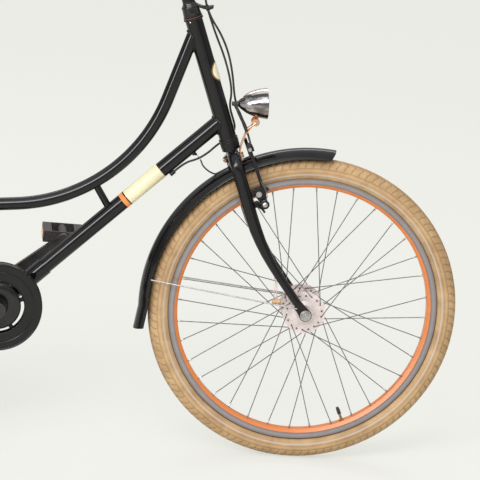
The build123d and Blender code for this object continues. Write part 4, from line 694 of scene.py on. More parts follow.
def make_hub(end, axle):
    """Hub: two flanges with eighteen holes each and scalloped edges, and the turned barrel between them.

    A flange's face is eighteen sectors, each blended from its hole's circle to the sector's outline: a
    point is the hole's edge and the outline's point at the same angle, mixed by a share from 0 to 1."""
    flange, half, barrel, neck, width = HUBS[end]
    hole, circle = 0.00165, flange - HOLE_INSET
    step = 2 * pi / HOLES
    turn = turn_round(24)
    cosine, sine = np.cos(turn), np.sin(turn)
    inner = barrel - 0.004
    square = np.where((np.abs(cosine) > np.abs(sine))[:, None],
                      np.stack([np.sign(cosine), np.tan(turn) * np.sign(cosine)], -1),
                      np.stack([1 / np.tan(turn + 1e-9) * np.sign(sine), np.sign(sine)], -1))
    scallop = 1.0 - 0.011 * np.cos(square[:, 1] * pi) * (square[:, 0] > 0.99)
    spread = circle + square[:, 0] * np.where(square[:, 0] >= 0, flange - circle, circle - inner)
    spread = spread * scallop
    layers = [(0.0, FLANGE_HALF), (0.06, FLANGE_HALF), (1.0, FLANGE_HALF),
              (1.0, -FLANGE_HALF), (0.06, -FLANGE_HALF), (0.0, -FLANGE_HALF)]
    surfaces = []
    for side in (1, -1):
        sector = np.arange(HOLES)[:, None] * step + (step / 2 if side < 0 else 0.0)
        edge = spread[:, None] * wheel_way(sector + square[:, 1] * step / 2)
        rim = (circle + hole * cosine)[:, None] * wheel_way(sector + hole * sine / circle)
        rows = [rim * (1 - share) + edge * share + (side * half + lift) * LEFT for share, lift in layers]
        surfaces.append(surface(axle + np.stack(rows, 1), wrap_rows=True, capped=False))
    bore, end_place = 0.0051, width / 2 - 0.010
    half_profile = [(barrel * 0.93, half - 0.012), (barrel, half - 0.004), (neck, half - 0.001), (neck, half),
                    (neck, end_place), (bore, end_place)]
    profile = [(radius, -place) for radius, place in half_profile[::-1]] + half_profile
    surfaces.append(surface(turned(profile, axle, LEFT, 72), wrap_rows=True))
    for side in (1, -1):
        dish = [(inner - 0.002, half - 0.0014), (inner + 0.001, half - 0.0014),
                (inner + 0.001, half + 0.0014), (neck + 0.004, half + 0.0030), (neck, half + 0.0065),
                (neck - 0.002, half + 0.0065)]
        surfaces.append(surface(turned([(radius, side * place) for radius, place in dish], axle, LEFT, 72),
                                wrap_rows=True))
    made = piece(f"{end}_hub_drilled", f"{end}_wheel", LOOKS["hub_alloy"], surfaces, crease=30)
    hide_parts(f"{end}_hub")


VALVE_ANGLE = radians(-65)    # of both valves, round the axle from ahead


def make_valve(end, axle):
    """Valve: a threaded stem turned about a radius of the wheel, its nut, and its cap. The profiles' second
    numbers count from the axle."""
    way = wheel_way(VALVE_ANGLE)
    threads = [(0.0029 - 0.0003 * (number % 2), 0.262 - 0.0007 * number) for number in range(20)]
    stem = [(0.0030, 0.266), (0.0030, 0.262)] + threads + [(0.0, 0.2475)]
    nut = [(0.0, 0.2645), (0.0056, 0.2645), (0.0056, 0.2615), (0.0, 0.2615)]
    piece(f"{end}_valve", f"{end}_wheel", LOOKS["brass"],
          [surface(turned(stem, axle, way, 20)), surface(turned(nut, axle, way, 6))], crease=50)
    cap = [(0.0, 0.249), (0.0039, 0.249), (0.0040, 0.240), (0.0034, 0.237), (0.0030, 0.2335), (0.0, 0.2333)]
    piece(f"{end}_valve_cap", f"{end}_wheel", LOOKS["black_plastic"],
          [surface(turned(cap, axle, way, 20))])


# ---------------------------------------------------------------- mudguards
GUARD_EDGE = 0.329            # radius of the mudguards' lower edges
GUARD_SIDE = 0.0292           # from the wheel's middle plane to the middle of a mudguard's rolled edge
GUARD_BEAD = 0.0016           # radius of the rolled edge
FLAP_WAY = wheel_way(radians(263.0))   # of the front mudguard's foot
FLAP_STEPS = np.linspace(0.004, 0.0436, 12)


def guard_edge(axle, first, last, side, flap):
    """The lower edge of a mudguard on one side: a circle's arc, and the foot's straight edge below it."""
    angle = np.radians(np.linspace(first, last, 120))
    path = axle + GUARD_EDGE * wheel_way(angle) + side * GUARD_SIDE * LEFT
    if flap:
        path = np.concatenate([path, path[-1] + FLAP_WAY * FLAP_STEPS[:, None]])
    return path


def make_guard_beads():
    """The rolled edges of both mudguards: a bead carried along each lower edge, between two angles."""
    for name, body, axle, first, last, flap in (("front", "steering", FRONT_AXLE, 86.6, 183.0, True),
                                                ("rear", "frame", REAR_AXLE, 12.0, 188.0, False)):
        edges = [surface(tubes(guard_edge(axle, first, last, side, flap), GUARD_BEAD, 8)) for side in (1, -1)]
        piece(f"{name}_mudguard_beads", body, LOOKS["mudguard_paint"], edges)


def bolt_head(place, way, radius, height, sides=32, domed=True):
    """A screw's head: a low dome, or a flat disc with an eased rim, turned about its own axis."""
    foot = [(0.0, -0.0004), (radius, -0.0004)]
    if domed:
        angle = np.linspace(0, pi / 2, 7)
        top = [(radius * cos(a), height * sin(a)) for a in angle]
    else:
        top = [(radius, height * 0.8), (radius * 0.9, height), (0.0, height)]
    return surface(turned(foot + top, place, way, sides))


# ---------------------------------------------------------------- cables
# steering places of the front brake's cable, from the right lever down to the brake's link
FRONT_CABLE = [
    (-0.0121, -0.2462, 0.8077), (0.030, -0.244, 0.791), (0.072, -0.225, 0.775), (0.100, -0.183, 0.765),
    (0.106, -0.130, 0.760), (0.092, -0.078, 0.756), (0.066, -0.036, 0.744), (0.042, -0.012, 0.722),
    (0.0326, -0.0045, 0.690), (0.0343, -0.0045, 0.653), (0.0455, -0.0035, 0.614), (0.0498, 0.001, 0.570),
    (0.046, 0.008, 0.524), (0.037, 0.013, 0.478), (0.0355, 0.0145, 0.446), (0.040, 0.014, 0.411),
    (0.0428, 0.0085, 0.389), (0.0407, 0.0, 0.3684),
]
# the rear brake's cable from the left lever past the head tube to its stop under the down tube
REAR_CABLE = [
    (-0.0121, 0.2462, 0.8077), (0.030, 0.245, 0.7905), (0.073, 0.227, 0.772), (0.103, 0.186, 0.760),
    (0.110, 0.132, 0.753), (0.097, 0.079, 0.749), (0.069, 0.036, 0.737), (0.044, 0.012, 0.718),
    (0.033, 0.0045, 0.687), (0.0335, 0.0045, 0.652), (0.0352, 0.0045, 0.612), (0.0393, 0.0048, 0.568),
    (0.0388, 0.006, 0.523), (0.034, 0.009, 0.487), (0.0215, 0.017, 0.460), (0.0215, 0.017, 0.434),
    (0.0215, 0.017, 0.414), (0.013, 0.0255, 0.399), (-0.007, 0.028, 0.391), (-0.027, 0.021, 0.386),
    (-0.048, 0.013, 0.378), (-0.072, 0.007, 0.373), (-0.100, 0.002, 0.3752), (-0.125, 0.0, 0.3643),
]
CABLE_DIAMETER = 0.0045
CABLE_BESIDE = (0.35, 0.2, 0.05)   # a direction that neither cable ever runs along


def spline_line(name, points):
    """Points read from the smooth spline whose control points are the route's points."""
    curve = bpy.data.curves.new(name, "CURVE")
    curve.dimensions = "3D"
    curve.resolution_u = 12
    spline = curve.splines.new("NURBS")
    spline.points.add(len(points) - 1)
    spline.points.foreach_set("co", np.concatenate([points, np.ones((len(points), 1))], 1).reshape(-1))
    spline.order_u = 3
    spline.use_endpoint_u = True
    holder = bpy.data.objects.new(name, curve)
    mesh = bpy.data.meshes.new_from_object(holder)
    line = np.empty(len(mesh.vertices) * 3)
    mesh.vertices.foreach_get("co", line)
    bpy.data.objects.remove(holder)
    bpy.data.curves.remove(curve)
    bpy.data.meshes.remove(mesh)
    return line.reshape(-1, 3)


def make_cables():
    """Both brake cables: tubes along their splines. The rear one, which runs past the head tube, is one piece that
    belongs to no body.
    """
    front = spline_line("front_route", steer(FRONT_CABLE))
    rear = spline_line("rear_route", steer(REAR_CABLE))
    made = piece("front_brake_housing", "steering", LOOKS["cable_black"],
                 [surface(tubes(front, CABLE_DIAMETER / 2, 10, up=CABLE_BESIDE))])
    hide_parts("front_brake_cable")
    made = piece("rear_brake_housing", None, LOOKS["cable_black"],
                 [surface(tubes(rear, CABLE_DIAMETER / 2, 10, up=CABLE_BESIDE))])
    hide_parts("rear_brake_cable_front", "rear_brake_cable_back")
    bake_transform(made)


# ---------------------------------------------------------------- frame tubes, their welds and marks
SEAT_WAY = wheel_way(radians(110.0))
DOWN_TOP = steer((0, 0, 0.4407))              # where the down tube's line meets the steering axis
DOWN_OFFSET = 0.0115                          # from the bracket's middle to the down tube's line
TO_HEAD = DOWN_TOP - BRACKET
DOWN_ANGLE = np.arctan2(TO_HEAD[2], TO_HEAD[0]) + np.arcsin(DOWN_OFFSET / np.linalg.norm(TO_HEAD))
DOWN_WAY = wheel_way(DOWN_ANGLE)
TOP_END = steer((0, 0, 0.640))                # where the top tube's line meets the steering axis
TOP_CORNER = BRACKET + np.array([0.2499, 0.0, 0.2327])   # middle of the top tube's low bend
HEAD_RADIUS = 0.0182
DOWN_RADIUS = 0.0166
TOP_RADIUS = 0.0135
SEAT_RADIUS = 0.0161
SHELL_RADIUS = 0.0222                         # of the bottom bracket's shell
BAND = (0.1655, 0.2665)                       # the band's ends, along the down tube from its top


def joint_line(start, way, radius, other, other_way, other_radius, steps=120):
    """Where a round tube's side meets another's: for each angle round the first tube, the nearer place along
    it at which the distance to the other's axis is the other's radius, the smaller root of a square."""
    way, other_way = unit(np.asarray(way, float)), unit(np.asarray(other_way, float))
    side = unit(np.cross(way, other_way))
    over = np.cross(side, way)
    angle = turn_round(steps)[:, None]
    around = start + radius * (np.cos(angle) * side + np.sin(angle) * over)
    off = np.cross(around - other, other_way)
    slope = np.cross(way, other_way)
    a, b = slope @ slope, 2 * off @ slope
    c = (off ** 2).sum(-1) - other_radius ** 2
    along = (-b - np.sqrt(np.maximum(b * b - 4 * a * c, 0))) / (2 * a)
    return around + along[:, None] * way, around - start


def weld(start, way, radius, other, other_way, other_radius, size=0.0024):
    """A weld: a bead along the line where two tubes meet, its radius waving with the torch's steps."""
    line, outward = joint_line(start, way, radius, other, other_way, other_radius)
    swell = size * (1 + 0.16 * np.sin(30 * turn_round(len(line))))
    return closed_bead(line, swell, unit(outward), 10)


def make_welds():
    """Beads at the head tube, the seat tube and the bottom bracket. Each tube's line starts a little way off
    the joint, so that the nearer crossing is the one at the joint."""
    head = (STEER_FOOT, STEER_UP, HEAD_RADIUS)
    shell = (BRACKET, LEFT, SHELL_RADIUS)
    seat = (BRACKET, SEAT_WAY, SEAT_RADIUS)
    top_way = unit(TOP_END - TOP_CORNER)
    rear_way = unit(BRACKET + 0.208 * SEAT_WAY - TOP_CORNER)
    beads = [weld(DOWN_TOP - 0.1 * DOWN_WAY, DOWN_WAY, DOWN_RADIUS, *head),
             weld(TOP_END - 0.1 * top_way, top_way, TOP_RADIUS, *head),
             weld(TOP_CORNER + 0.05 * rear_way, rear_way, TOP_RADIUS, *seat),
             weld(DOWN_TOP - 0.45 * DOWN_WAY, -DOWN_WAY, DOWN_RADIUS, *shell),
             weld(BRACKET + 0.15 * SEAT_WAY, -SEAT_WAY, SEAT_RADIUS, *shell)]
    piece("frame_welds", "frame", LOOKS["frame_paint"], beads, crease=60)


def band_look():
    """Cream lacquer with a fine black line and an orange ring at its lower end, clouded a little."""
    look = Look("band_lacquer")
    place = look.span(look.along(DOWN_TOP, -DOWN_WAY), 0.160, 0.270)
    stops = [(0.0, (0.62, 0.56, 0.36)), (0.858, (0.70, 0.64, 0.43)), (0.8582, (0.01, 0.009, 0.009)),
             (0.886, (0.01, 0.009, 0.009)), (0.8862, (0.74, 0.22, 0.045)), (1.0, (0.80, 0.27, 0.06))]
    cloud = look.ramp(look.noise(22.0), [(0.3, (0.92, 0.90, 0.86)), (0.7, (1.0, 1.0, 1.0))])
    look.colour(look.mix(1.0, look.ramp(place, stops), cloud, "MULTIPLY"))
    look.set(Roughness=0.22)
    look.bump(look.noise(400.0, 2.0), 0.04, 0.0003)
    return look.material


def make_marks():
    """The plain band round the down tube and a plain oval badge on the head tube."""
    inner, outer, ease = 0.0164, 0.01665, 0.0004
    section = [(inner, BAND[0]), (outer, BAND[0] + ease), (outer, BAND[1] - ease), (inner, BAND[1]),
               (inner - ease, BAND[1]), (inner - ease, BAND[0])]
    piece("down_tube_band", "frame", band_look(),
          [surface(turned(section, DOWN_TOP, -DOWN_WAY, 96), wrap_rows=True)])
    oval_badge("head_badge_rim", LOOKS["brass"], 1.0, 0.0184)
    oval_badge("head_badge", LOOKS["badge_cream"], 0.88, 0.0188)


BADGE_PLACE = 0.5430          # of the badge's middle, along the steering axis
BADGE_HALF_TURN = radians(76)
BADGE_HALF_HEIGHT = 0.0225
BADGE_DOME = 0.0006


def oval_badge(name, material, size, radius):
    """An oval laid on the head tube's front: rings of one centre whose angle round the tube and height grow
    with a share from 0 to 1, at a radius plus a low dome that falls to nothing at the edge."""
    share = np.linspace(0.0, 1.0, 9)[:, None]
    turn = turn_round(64)[None]
    around = BADGE_HALF_TURN * size * share * np.cos(turn)
    height = BADGE_PLACE + BADGE_HALF_HEIGHT * size * share * np.sin(turn)
    lift = radius + BADGE_DOME * (1 - share ** 6)
    outer = np.stack([lift * np.cos(around), -lift * np.sin(around), height], -1)
    inner = outer * (0.96, 0.96, 1.0)
    piece(name, "frame", material, [surface(steer(np.concatenate([outer, inner[::-1]])))])


# ---------------------------------------------------------------- headset and cable guide
def make_headset():
    """The bell-shaped cap over the headset, its seal, its rings and its small screw."""
    foot = [(0.0, 0.0), (0.0183, 0.0), (0.0187, 0.0020), (0.0186, 0.0052), (0.0180, 0.0060), (0.0183, 0.0068)]
    dome = [(0.0183, 0.0068), (0.0181, 0.0100), (0.0176, 0.0140), (0.0167, 0.0182), (0.0155, 0.0222),
            (0.0142, 0.0256), (0.0132, 0.0284), (0.0129, 0.0305), (0.0129, 0.0320)]
    profile = np.concatenate([foot, eased(dome, 5), [(0.0, 0.0320)]])
    made = piece("headset_bell", "steering", LOOKS["black_gloss"],
                 [surface(turned(profile, steer((0, 0, CAP_FOOT)), STEER_UP, 72), capped=False)], crease=32)
    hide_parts("headset_cap")
    piece("headset_seal", "steering", LOOKS["red_brown_seal"],
          [torus(steer((0, 0, 0.6642)), STEER_UP, 0.0186, 0.0011, 72, 10)])
    rings = ((0.6600, 0.0192, 0.0014), (0.3985, 0.0186, 0.0016), (0.3925, 0.0192, 0.0012))
    piece("headset_rings", "frame", LOOKS["black_metal"],
          [torus(steer((0, 0, place)), STEER_UP, radius, size, 72, 10) for place, radius, size in rings])
    spot = steer((-0.0085, -0.0172, 0.6575))
    way = unit(spot - steer((0, 0, 0.6575)))       # straight out from the steering axis
    piece("headset_screw", "frame", LOOKS["chrome"],
          [bolt_head(spot + way * 0.0018, way, 0.0017, 0.0010, 20)])


GUIDE_REACH = (0.0150, 0.0465)   # where the guide's arm starts and ends, ahead of the steering axis
EYE_RADIUS = 0.0032
EYE_WIRE = 0.0009


def make_guide():
    """Cable guide: a ring on the cap, and an arm whose rounded end holds both cables in eyes. The arm's
    section is a circle with squared corners, its half width and half thickness eased along the arm."""
    ring = [(0.0128, 0.0158), (0.0176, 0.0158), (0.0180, 0.0168), (0.0180, 0.0208), (0.0172, 0.0220),
            (0.0128, 0.0220)]
    surfaces = [surface(turned(ring, steer((0, 0, CAP_FOOT)), STEER_UP, 64), wrap_rows=True)]
    ahead = np.linspace(*GUIDE_REACH, 24)
    share = (ahead - ahead[0]) / (ahead[-1] - ahead[0])
    middle_line = CAP_FOOT + 0.0190 - 0.0135 * share - 0.004 * np.sin(pi * share)
    half_width = 0.0095 * np.sqrt(np.clip(1 - np.clip((share - 0.74) / 0.26, 0, 1) ** 2, 0.02, 1))
    half_thick = 0.0030 + 0.0010 * share - 0.0012 * np.clip((share - 0.86) / 0.14, 0, 1) ** 2
    angle = turn_round(28)[None]
    left = half_width[:, None] * squared(np.cos(angle), 0.7)
    up = half_thick[:, None] * squared(np.sin(angle), 0.7)
    places = np.stack([ahead[:, None] + 0.35 * up, left, middle_line[:, None] + up], -1)
    surfaces.append(surface(steer(places)))
    for side in (1, -1):
        spot = steer((0.0334, side * 0.0045, CAP_FOOT + 0.0070))
        way = steer((0.0343, 0, 0.653)) - steer((0.0326, 0, 0.690))
        surfaces += [torus(spot + way * shift, way, EYE_RADIUS, EYE_WIRE, 28, 8) for shift in (-0.12, 0.12)]
    made = piece("cable_guide_arm", "steering", LOOKS["black_gloss"], surfaces, crease=35)
    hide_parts("cable_guide")


# ---------------------------------------------------------------- steering spring
# steering places of the spring that holds the steering straight, from the down tube to the mudguard
SPRING_ROUTE = [(-0.0755, 0, 0.3885), (-0.0690, 0, 0.3790), (-0.0668, 0, 0.3690), (-0.0655, 0, 0.3580),
                (-0.0590, 0, 0.3455), (-0.0500, 0, 0.3362), (-0.0440, 0, 0.3335)]
GUARD_TOP = 0.3474            # radius of the front mudguard's outside, where the spring is clipped to it


def make_spring():
    """The spring that holds the steering straight: a wire and its sleeve from a clip under the down tube to
    a clip on the front mudguard, as tubes carried along one smooth line."""
    line = eased(steer(SPRING_ROUTE), 8)
    wire = piece("steering_spring_wire", None, LOOKS["spoke_steel"],
                 [surface(tubes(line[:26], 0.00065, 8))])
    sleeve = piece("steering_spring_sleeve", None, LOOKS["cable_black"],
                   [surface(tubes(line[14:], np.linspace(0.0015, 0.0018, len(line) - 14), 12))])
    for made in (wire, sleeve):
        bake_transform(made)
    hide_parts("steering_spring_top", "steering_spring_foot")
    below = np.array([DOWN_WAY[2], 0, -DOWN_WAY[0]])
    under = DOWN_TOP - 0.0905 * DOWN_WAY + 0.0164 * below
    drop = unit(line[0] - under)
    clip = [(0.0, -0.001), (0.0052, -0.001), (0.0052, 0.0022), (0.0030, 0.0032), (0.0024, 0.0068),
            (0.0, 0.0072)]
    piece("steering_spring_clip", "frame", LOOKS["black_metal"],
          [surface(turned(clip, under, drop, 28)),
           surface(tubes(np.linspace(under + drop * 0.006, line[0], 5), 0.0012, 10))], crease=35)
    guard = FRONT_AXLE + GUARD_TOP * wheel_way(np.radians(np.linspace(118.5, 114.0, 9)))
    profile = [(0.0014, -0.0070), (0.0014, 0.0070), (0.0, 0.0074), (-0.0014, 0.0070), (-0.0014, -0.0070),
               (0.0, -0.0074)]
    outward = unit(guard[5] - FRONT_AXLE)
    piece("steering_spring_guard_clip", "steering", LOOKS["black_metal"],
          [surface(carried(profile, guard)),
           surface(tubes(eased([line[-1], (line[-1] + guard[3]) / 2, guard[3]], 5), 0.0018, 10)),
           bolt_head(guard[5] + outward * 0.0012, outward, 0.0036, 0.0018, 24)])


# ---------------------------------------------------------------- headlamp
LAMP_WAY = steer((0.9548, 0, -0.2974)) - STEER_FOOT   # from the lamp's tip to its glass, level with the floor
LAMP_UP = steer((0.2974, 0, 0.9548)) - STEER_FOOT
LAMP_TIP = steer((0.0389, 0, 0.4632))
# the shell's radius and place along the lamp, from its tip
LAMP_OUTLINE = [(0.0048, 0.0), (0.0088, 0.0040), (0.0128, 0.0090), (0.0186, 0.0165), (0.0236, 0.0255),
                (0.0276, 0.0370), (0.0300, 0.0480), (0.0314, 0.0580)]


def lamp_look():
    """Chrome, greyer than on the bars, with a painted reflection in its colour: warm floor tones under its middle
    line, a dark horizon band above it and a pale sky at its top.
    """
    look = Look("lamp_chrome_painted_reflection")
    # painted reflection: the colour goes by height across the lamp, warm below, a dark band high up and pale at
    # the top
    height = look.span(look.along(LAMP_TIP, LAMP_UP), -0.034, 0.034)
    tone = look.ramp(height, [(0.0, (0.20, 0.145, 0.11)), (0.25, (0.30, 0.25, 0.22)),
                              (0.5, (0.34, 0.32, 0.32)), (0.72, (0.26, 0.25, 0.26)),
                              (0.84, (0.22, 0.21, 0.21)), (1.0, (0.56, 0.50, 0.48))])
    stretched = look.moved(LAMP_TIP, (1.0, 1.0, 2.2), (0, 0.3, 0))
    streak = look.noise(38.0, 4.0, stretched)
    shade = look.ramp(streak, [(0.38, (0.55, 0.52, 0.50)), (0.52, (1.0, 1.0, 1.0)),
                               (0.62, (1.7, 1.65, 1.65))])
    look.colour(look.mix(1.0, tone, shade, "MULTIPLY"))
    look.set(Metallic=1.0)
    look.roughness(look.span(streak, 0.3, 0.7, 0.07, 0.16))
    look.bump(look.noise(60.0, 2.0), 0.10, 0.0008)
    return look.material


GLASS_RADIUS = 0.0298
FLUTE_WIDTH = 0.0045


def round_lamp(radius, angle, place):
    """Points at a radius and an angle round the lamp's axis, counted from its top, and a place along it."""
    return (LAMP_TIP + place[..., None] * LAMP_WAY + (radius * np.cos(angle))[..., None] * LAMP_UP
            + (radius * np.sin(angle))[..., None] * LEFT)


def lamp_strip(outer, half_angle, lift, name, finish):
    """A strip over the shell's top: a lens-shaped section between two angles round the lamp's axis, carried
    along the shell's outline and narrowed towards the tip."""
    along = np.linspace(0.0075, 0.0600, 40)[:, None]
    spread = np.linspace(-1, 1, 21)[None]
    radius = np.interp(along, outer[:, 1], outer[:, 0])
    angle = radians(half_angle) * np.clip((along - 0.0075) / 0.02, 0.15, 1.0) * spread
    over = radius + lift * (1 - np.abs(spread) ** 5) + 0.0002
    under = radius - 0.0012 + 0 * spread
    place = along + 0 * spread
    rows = [round_lamp(over, angle, place), round_lamp(under[:, ::-1], angle[:, ::-1], place)]
    piece(name, "steering", LOOKS[finish], [surface(np.concatenate(rows, 1))], crease=50)


def make_lamp_glass():
    """The glass: rings from its rim to its middle, domed and fluted in front, flat behind; and the bulb."""
    ring = np.linspace(0, 1, 24)[:, None]
    turn = turn_round(96)[None]
    across = ring * GLASS_RADIUS * np.sin(turn)
    flutes = 0.00045 * np.sin(across * 2 * pi / FLUTE_WIDTH) * np.clip((1 - ring) * 6, 0, 1)
    front = 0.0572 + 0.0028 * (1 - ring ** 2) + flutes
    back = np.full(front.shape, 0.0540)
    size = GLASS_RADIUS * ring + 0 * turn
    layers = np.concatenate([round_lamp(size, turn, front), round_lamp(size[::-1], turn, back)])
    glass = piece("headlamp_glass", "steering", LOOKS["lamp_glass"], [surface(layers)],
                  crease=50)
    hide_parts("headlamp_lens")
    bulb = [(0.0, 0.0308), (0.0045, 0.0308), (0.0045, 0.0340), (0.0030, 0.0352), (0.0052, 0.0400),
            (0.0054, 0.0430), (0.0040, 0.0465), (0.0, 0.0480)]
    piece("headlamp_bulb", "steering", LOOKS["lamp_glass"],
          [surface(turned(bulb, LAMP_TIP, LAMP_WAY, 24), capped=False)])


def make_lamp_fixings():
    """The boss at the lamp's tip, six-sided behind and round in front; its arm; the lugs and tail below."""
    boss = [(0.0, -0.0118), (0.0036, -0.0118), (0.0044, -0.0108), (0.0044, -0.0030), (0.0058, -0.0028),
            (0.0058, 0.0012), (0.0, 0.0012)]
    piece("headlamp_boss", "steering", LOOKS["black_plastic"],
          [surface(turned(boss[:4] + [(0.0, -0.0030)], LAMP_TIP, LAMP_WAY, 6)),
           surface(turned([(0.0, -0.0031)] + boss[4:], LAMP_TIP, LAMP_WAY, 32))], crease=25)
    arm = eased(steer([(0.0345, 0, 0.4600), (0.0350, -0.0030, 0.4480), (0.0372, -0.0045, 0.4330),
                       (0.0400, -0.0045, 0.4180), (0.0408, -0.0045, 0.4020)]), 6)
    piece("headlamp_arm", "steering", LOOKS["black_plastic"],
          [surface(tubes(arm, np.linspace(0.0034, 0.0046, len(arm)), 14, flat=0.8))])
    eye = LAMP_TIP + 0.0377 * LAMP_WAY - 0.0372 * LAMP_UP
    lug = [(0.0031, -0.0022), (0.0071, -0.0022), (0.0078, -0.0014), (0.0078, 0.0014), (0.0071, 0.0022),
           (0.0031, 0.0022)]
    near, away = eye - 0.0105 * LEFT, eye + 0.0105 * LEFT
    tail = eased([near, near * 0.55 + steer((0.043, -0.010, 0.4090)) * 0.45,
                  steer((0.043, -0.009, 0.4090))], 6)
    piece("headlamp_lugs", "steering", LOOKS["copper"],
          [surface(turned(lug, place, LEFT, 40), wrap_rows=True) for place in (near, away)]
          + [surface(tubes(tail, np.linspace(0.0058, 0.0044, len(tail)), 16, flat=0.42))])
    piece("headlamp_screw", "steering", LOOKS["steel"],
          [bolt_head(near - 0.0020 * LEFT, -LEFT, 0.0030, 0.0012, 6, False)], crease=25)


def make_headlamp():
    """Headlamp: a bullet turned about its axis, with a bowl inside whose radius grows with the root of its
    depth; over its top a black strip that is a painted reflection of the dark horizon, and a raised chrome strip
    where the sky's reflection lies; its glass and its fixings."""
    outer = eased(LAMP_OUTLINE, 5)
    rim = [(0.0318, 0.0590), (0.0320, 0.0603), (0.0316, 0.0614), (0.0306, 0.0615), (0.0302, 0.0606),
           (0.0302, 0.0535)]
    bowl_place = np.linspace(0.0530, 0.0310, 8)
    bowl = np.stack([0.0296 * np.sqrt((bowl_place - 0.0305) / 0.0225), bowl_place], -1)
    profile = np.concatenate([[(0.0, 0.0)], outer, rim, bowl, [(0.0, 0.0308)]])
    shell = piece("headlamp_bullet", "steering", lamp_look(),
                  [surface(turned(profile, LAMP_TIP, LAMP_WAY, 96), capped=False)], crease=38)
    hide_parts("headlamp_shell")
    # painted reflection: the black strip, wider than the chrome strip, shows at its edges as the reflected dark
    # horizon
    lamp_strip(outer, 50.0, 0.0003, "headlamp_painted_dark_band", "black_plastic")
    lamp_strip(outer, 37.0, 0.0011, "headlamp_trim", "trim_chrome")
    make_lamp_glass()
    make_lamp_fixings()


# ---------------------------------------------------------------- front brake
BRAKE_PIVOT = (0.0334, 0.2553)   # ahead of and along the steering axis
BRAKE_PAD = (0.0280, 0.2743)
SHOE_RADIUS = 0.2752          # of the shoes' middle, round the front axle
SHOE_SIDE = 0.0193            # from the wheel's middle plane
SHOE_HALF_ANGLE = 0.088


def brake_shoe(side):
    """A shoe: a circle with squared corners carried along the rim's curve, and drawn in at both ends."""
    turn = np.linspace(-SHOE_HALF_ANGLE, SHOE_HALF_ANGLE, 26)
    angle = np.arctan2(BRAKE_PAD[1], BRAKE_PAD[0] - FORK_OFFSET) + turn
    outward = wheel_way(angle)
    line = (FORK_OFFSET, side * SHOE_SIDE, 0.0) + SHOE_RADIUS * outward
    swell = np.clip(1 - np.abs(turn / SHOE_HALF_ANGLE) ** 6, 0.05, 1)[:, None]
    corner = turn_round(16)[None]
    high = 0.0050 * swell * squared(np.sin(corner), 0.5)
    deep = 0.0042 * squared(np.cos(corner), 0.5) * (0.9 + 0.1 * swell)
    return surface(steer(line[:, None] + high[..., None] * outward[:, None] + deep[..., None] * LEFT))


def brake_spring(side):
    """A spring: a wire that turns a little over twice round its pivot, then runs up the arm."""
    turn = np.linspace(0, 4.4 * pi, 70)
    coil = steer(np.stack([BRAKE_PIVOT[0] + 0.0078 * np.cos(turn), side * (0.0505 + 0.0011 * turn / pi),
                           BRAKE_PIVOT[1] + 0.0078 * np.sin(turn)], -1))
    leg = steer([(0.0430, side * 0.0550, 0.2700), (0.0425, side * 0.0545, 0.2850),
                 (0.0385, side * 0.0520, 0.3050)])
    return surface(tubes(np.concatenate([coil, eased(leg, 6)]), 0.00075, 8, up=(0.3, 0.2, 0.9)))


def brake_hook(side):
    """The hook and eye at an arm's foot."""
    hook = eased(steer([(0.0171, side * 0.0500, 0.2615), (0.0200, side * 0.0510, 0.2540),
                        (0.0258, side * 0.0515, 0.2470), (0.0285, side * 0.0510, 0.2380)]), 6)
    return [surface(tubes(hook, np.linspace(0.0034, 0.0022, len(hook)), 12)),
            torus(steer((0.0175, side * 0.0500, 0.2612)), LEFT, 0.0040, 0.0022, 28, 10)]


def make_front_brake():
    """Bolts, springs, hooks and shoes of the front brake, and the cable's ribbed boot with its anchors."""
    bolts, black = [], []
    cover = [(0.0, -0.004), (0.0085, -0.004), (0.0092, -0.002), (0.0092, 0.0), (0.0070, 0.001), (0.0, 0.001)]
    washer = [(0.0, -0.0010), (0.0060, -0.0010), (0.0060, 0.0), (0.0, 0.0)]
    for side in (1, -1):
        way = side * LEFT
        pivot = steer((BRAKE_PIVOT[0], side * 0.0585, BRAKE_PIVOT[1]))
        pad = steer((BRAKE_PAD[0] - 0.0005, side * 0.0520, BRAKE_PAD[1] + 0.004))
        bolts += [bolt_head(pivot, way, 0.0058, 0.0030, 32), bolt_head(pad, way, 0.0044, 0.0030, 6, False),
                  surface(turned(washer, pad, way, 28))]
        black += [surface(turned(cover, pivot, way, 32)), *brake_hook(side)]
    piece("front_brake_bolts", "steering", LOOKS["steel"], bolts, crease=30)
    piece("front_brake_springs", "steering", LOOKS["spoke_steel"],
          [brake_spring(side) for side in (1, -1)])
    piece("front_brake_ends", "steering", LOOKS["black_metal"], black)
    made = piece("front_brake_shoes", "steering", LOOKS["black_rubber"],
                 [brake_shoe(side) for side in (1, -1)], crease=50)
    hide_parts("brake_pads")
    boot = eased(steer([(0.0350, -0.0340, 0.3745), (0.0352, -0.0200, 0.3760), (0.0378, -0.0080, 0.3752),
                        (0.0407, 0.0, 0.3700)]), 8)
    ribs = 0.0036 + 0.0006 * np.sin(np.arange(len(boot)) * 2.0)
    piece("front_brake_boot", "steering", LOOKS["black_rubber"],
          [surface(tubes(boot, ribs, 14, up=(0.2, 0.1, 1.0)))])
    piece("front_brake_anchor", "steering", LOOKS["steel"],
          [bolt_head(steer((0.0350, side * 0.0485, 0.3740)), side * LEFT, 0.0042, 0.0028, 6, False)
           for side in (1, -1)], crease=25)


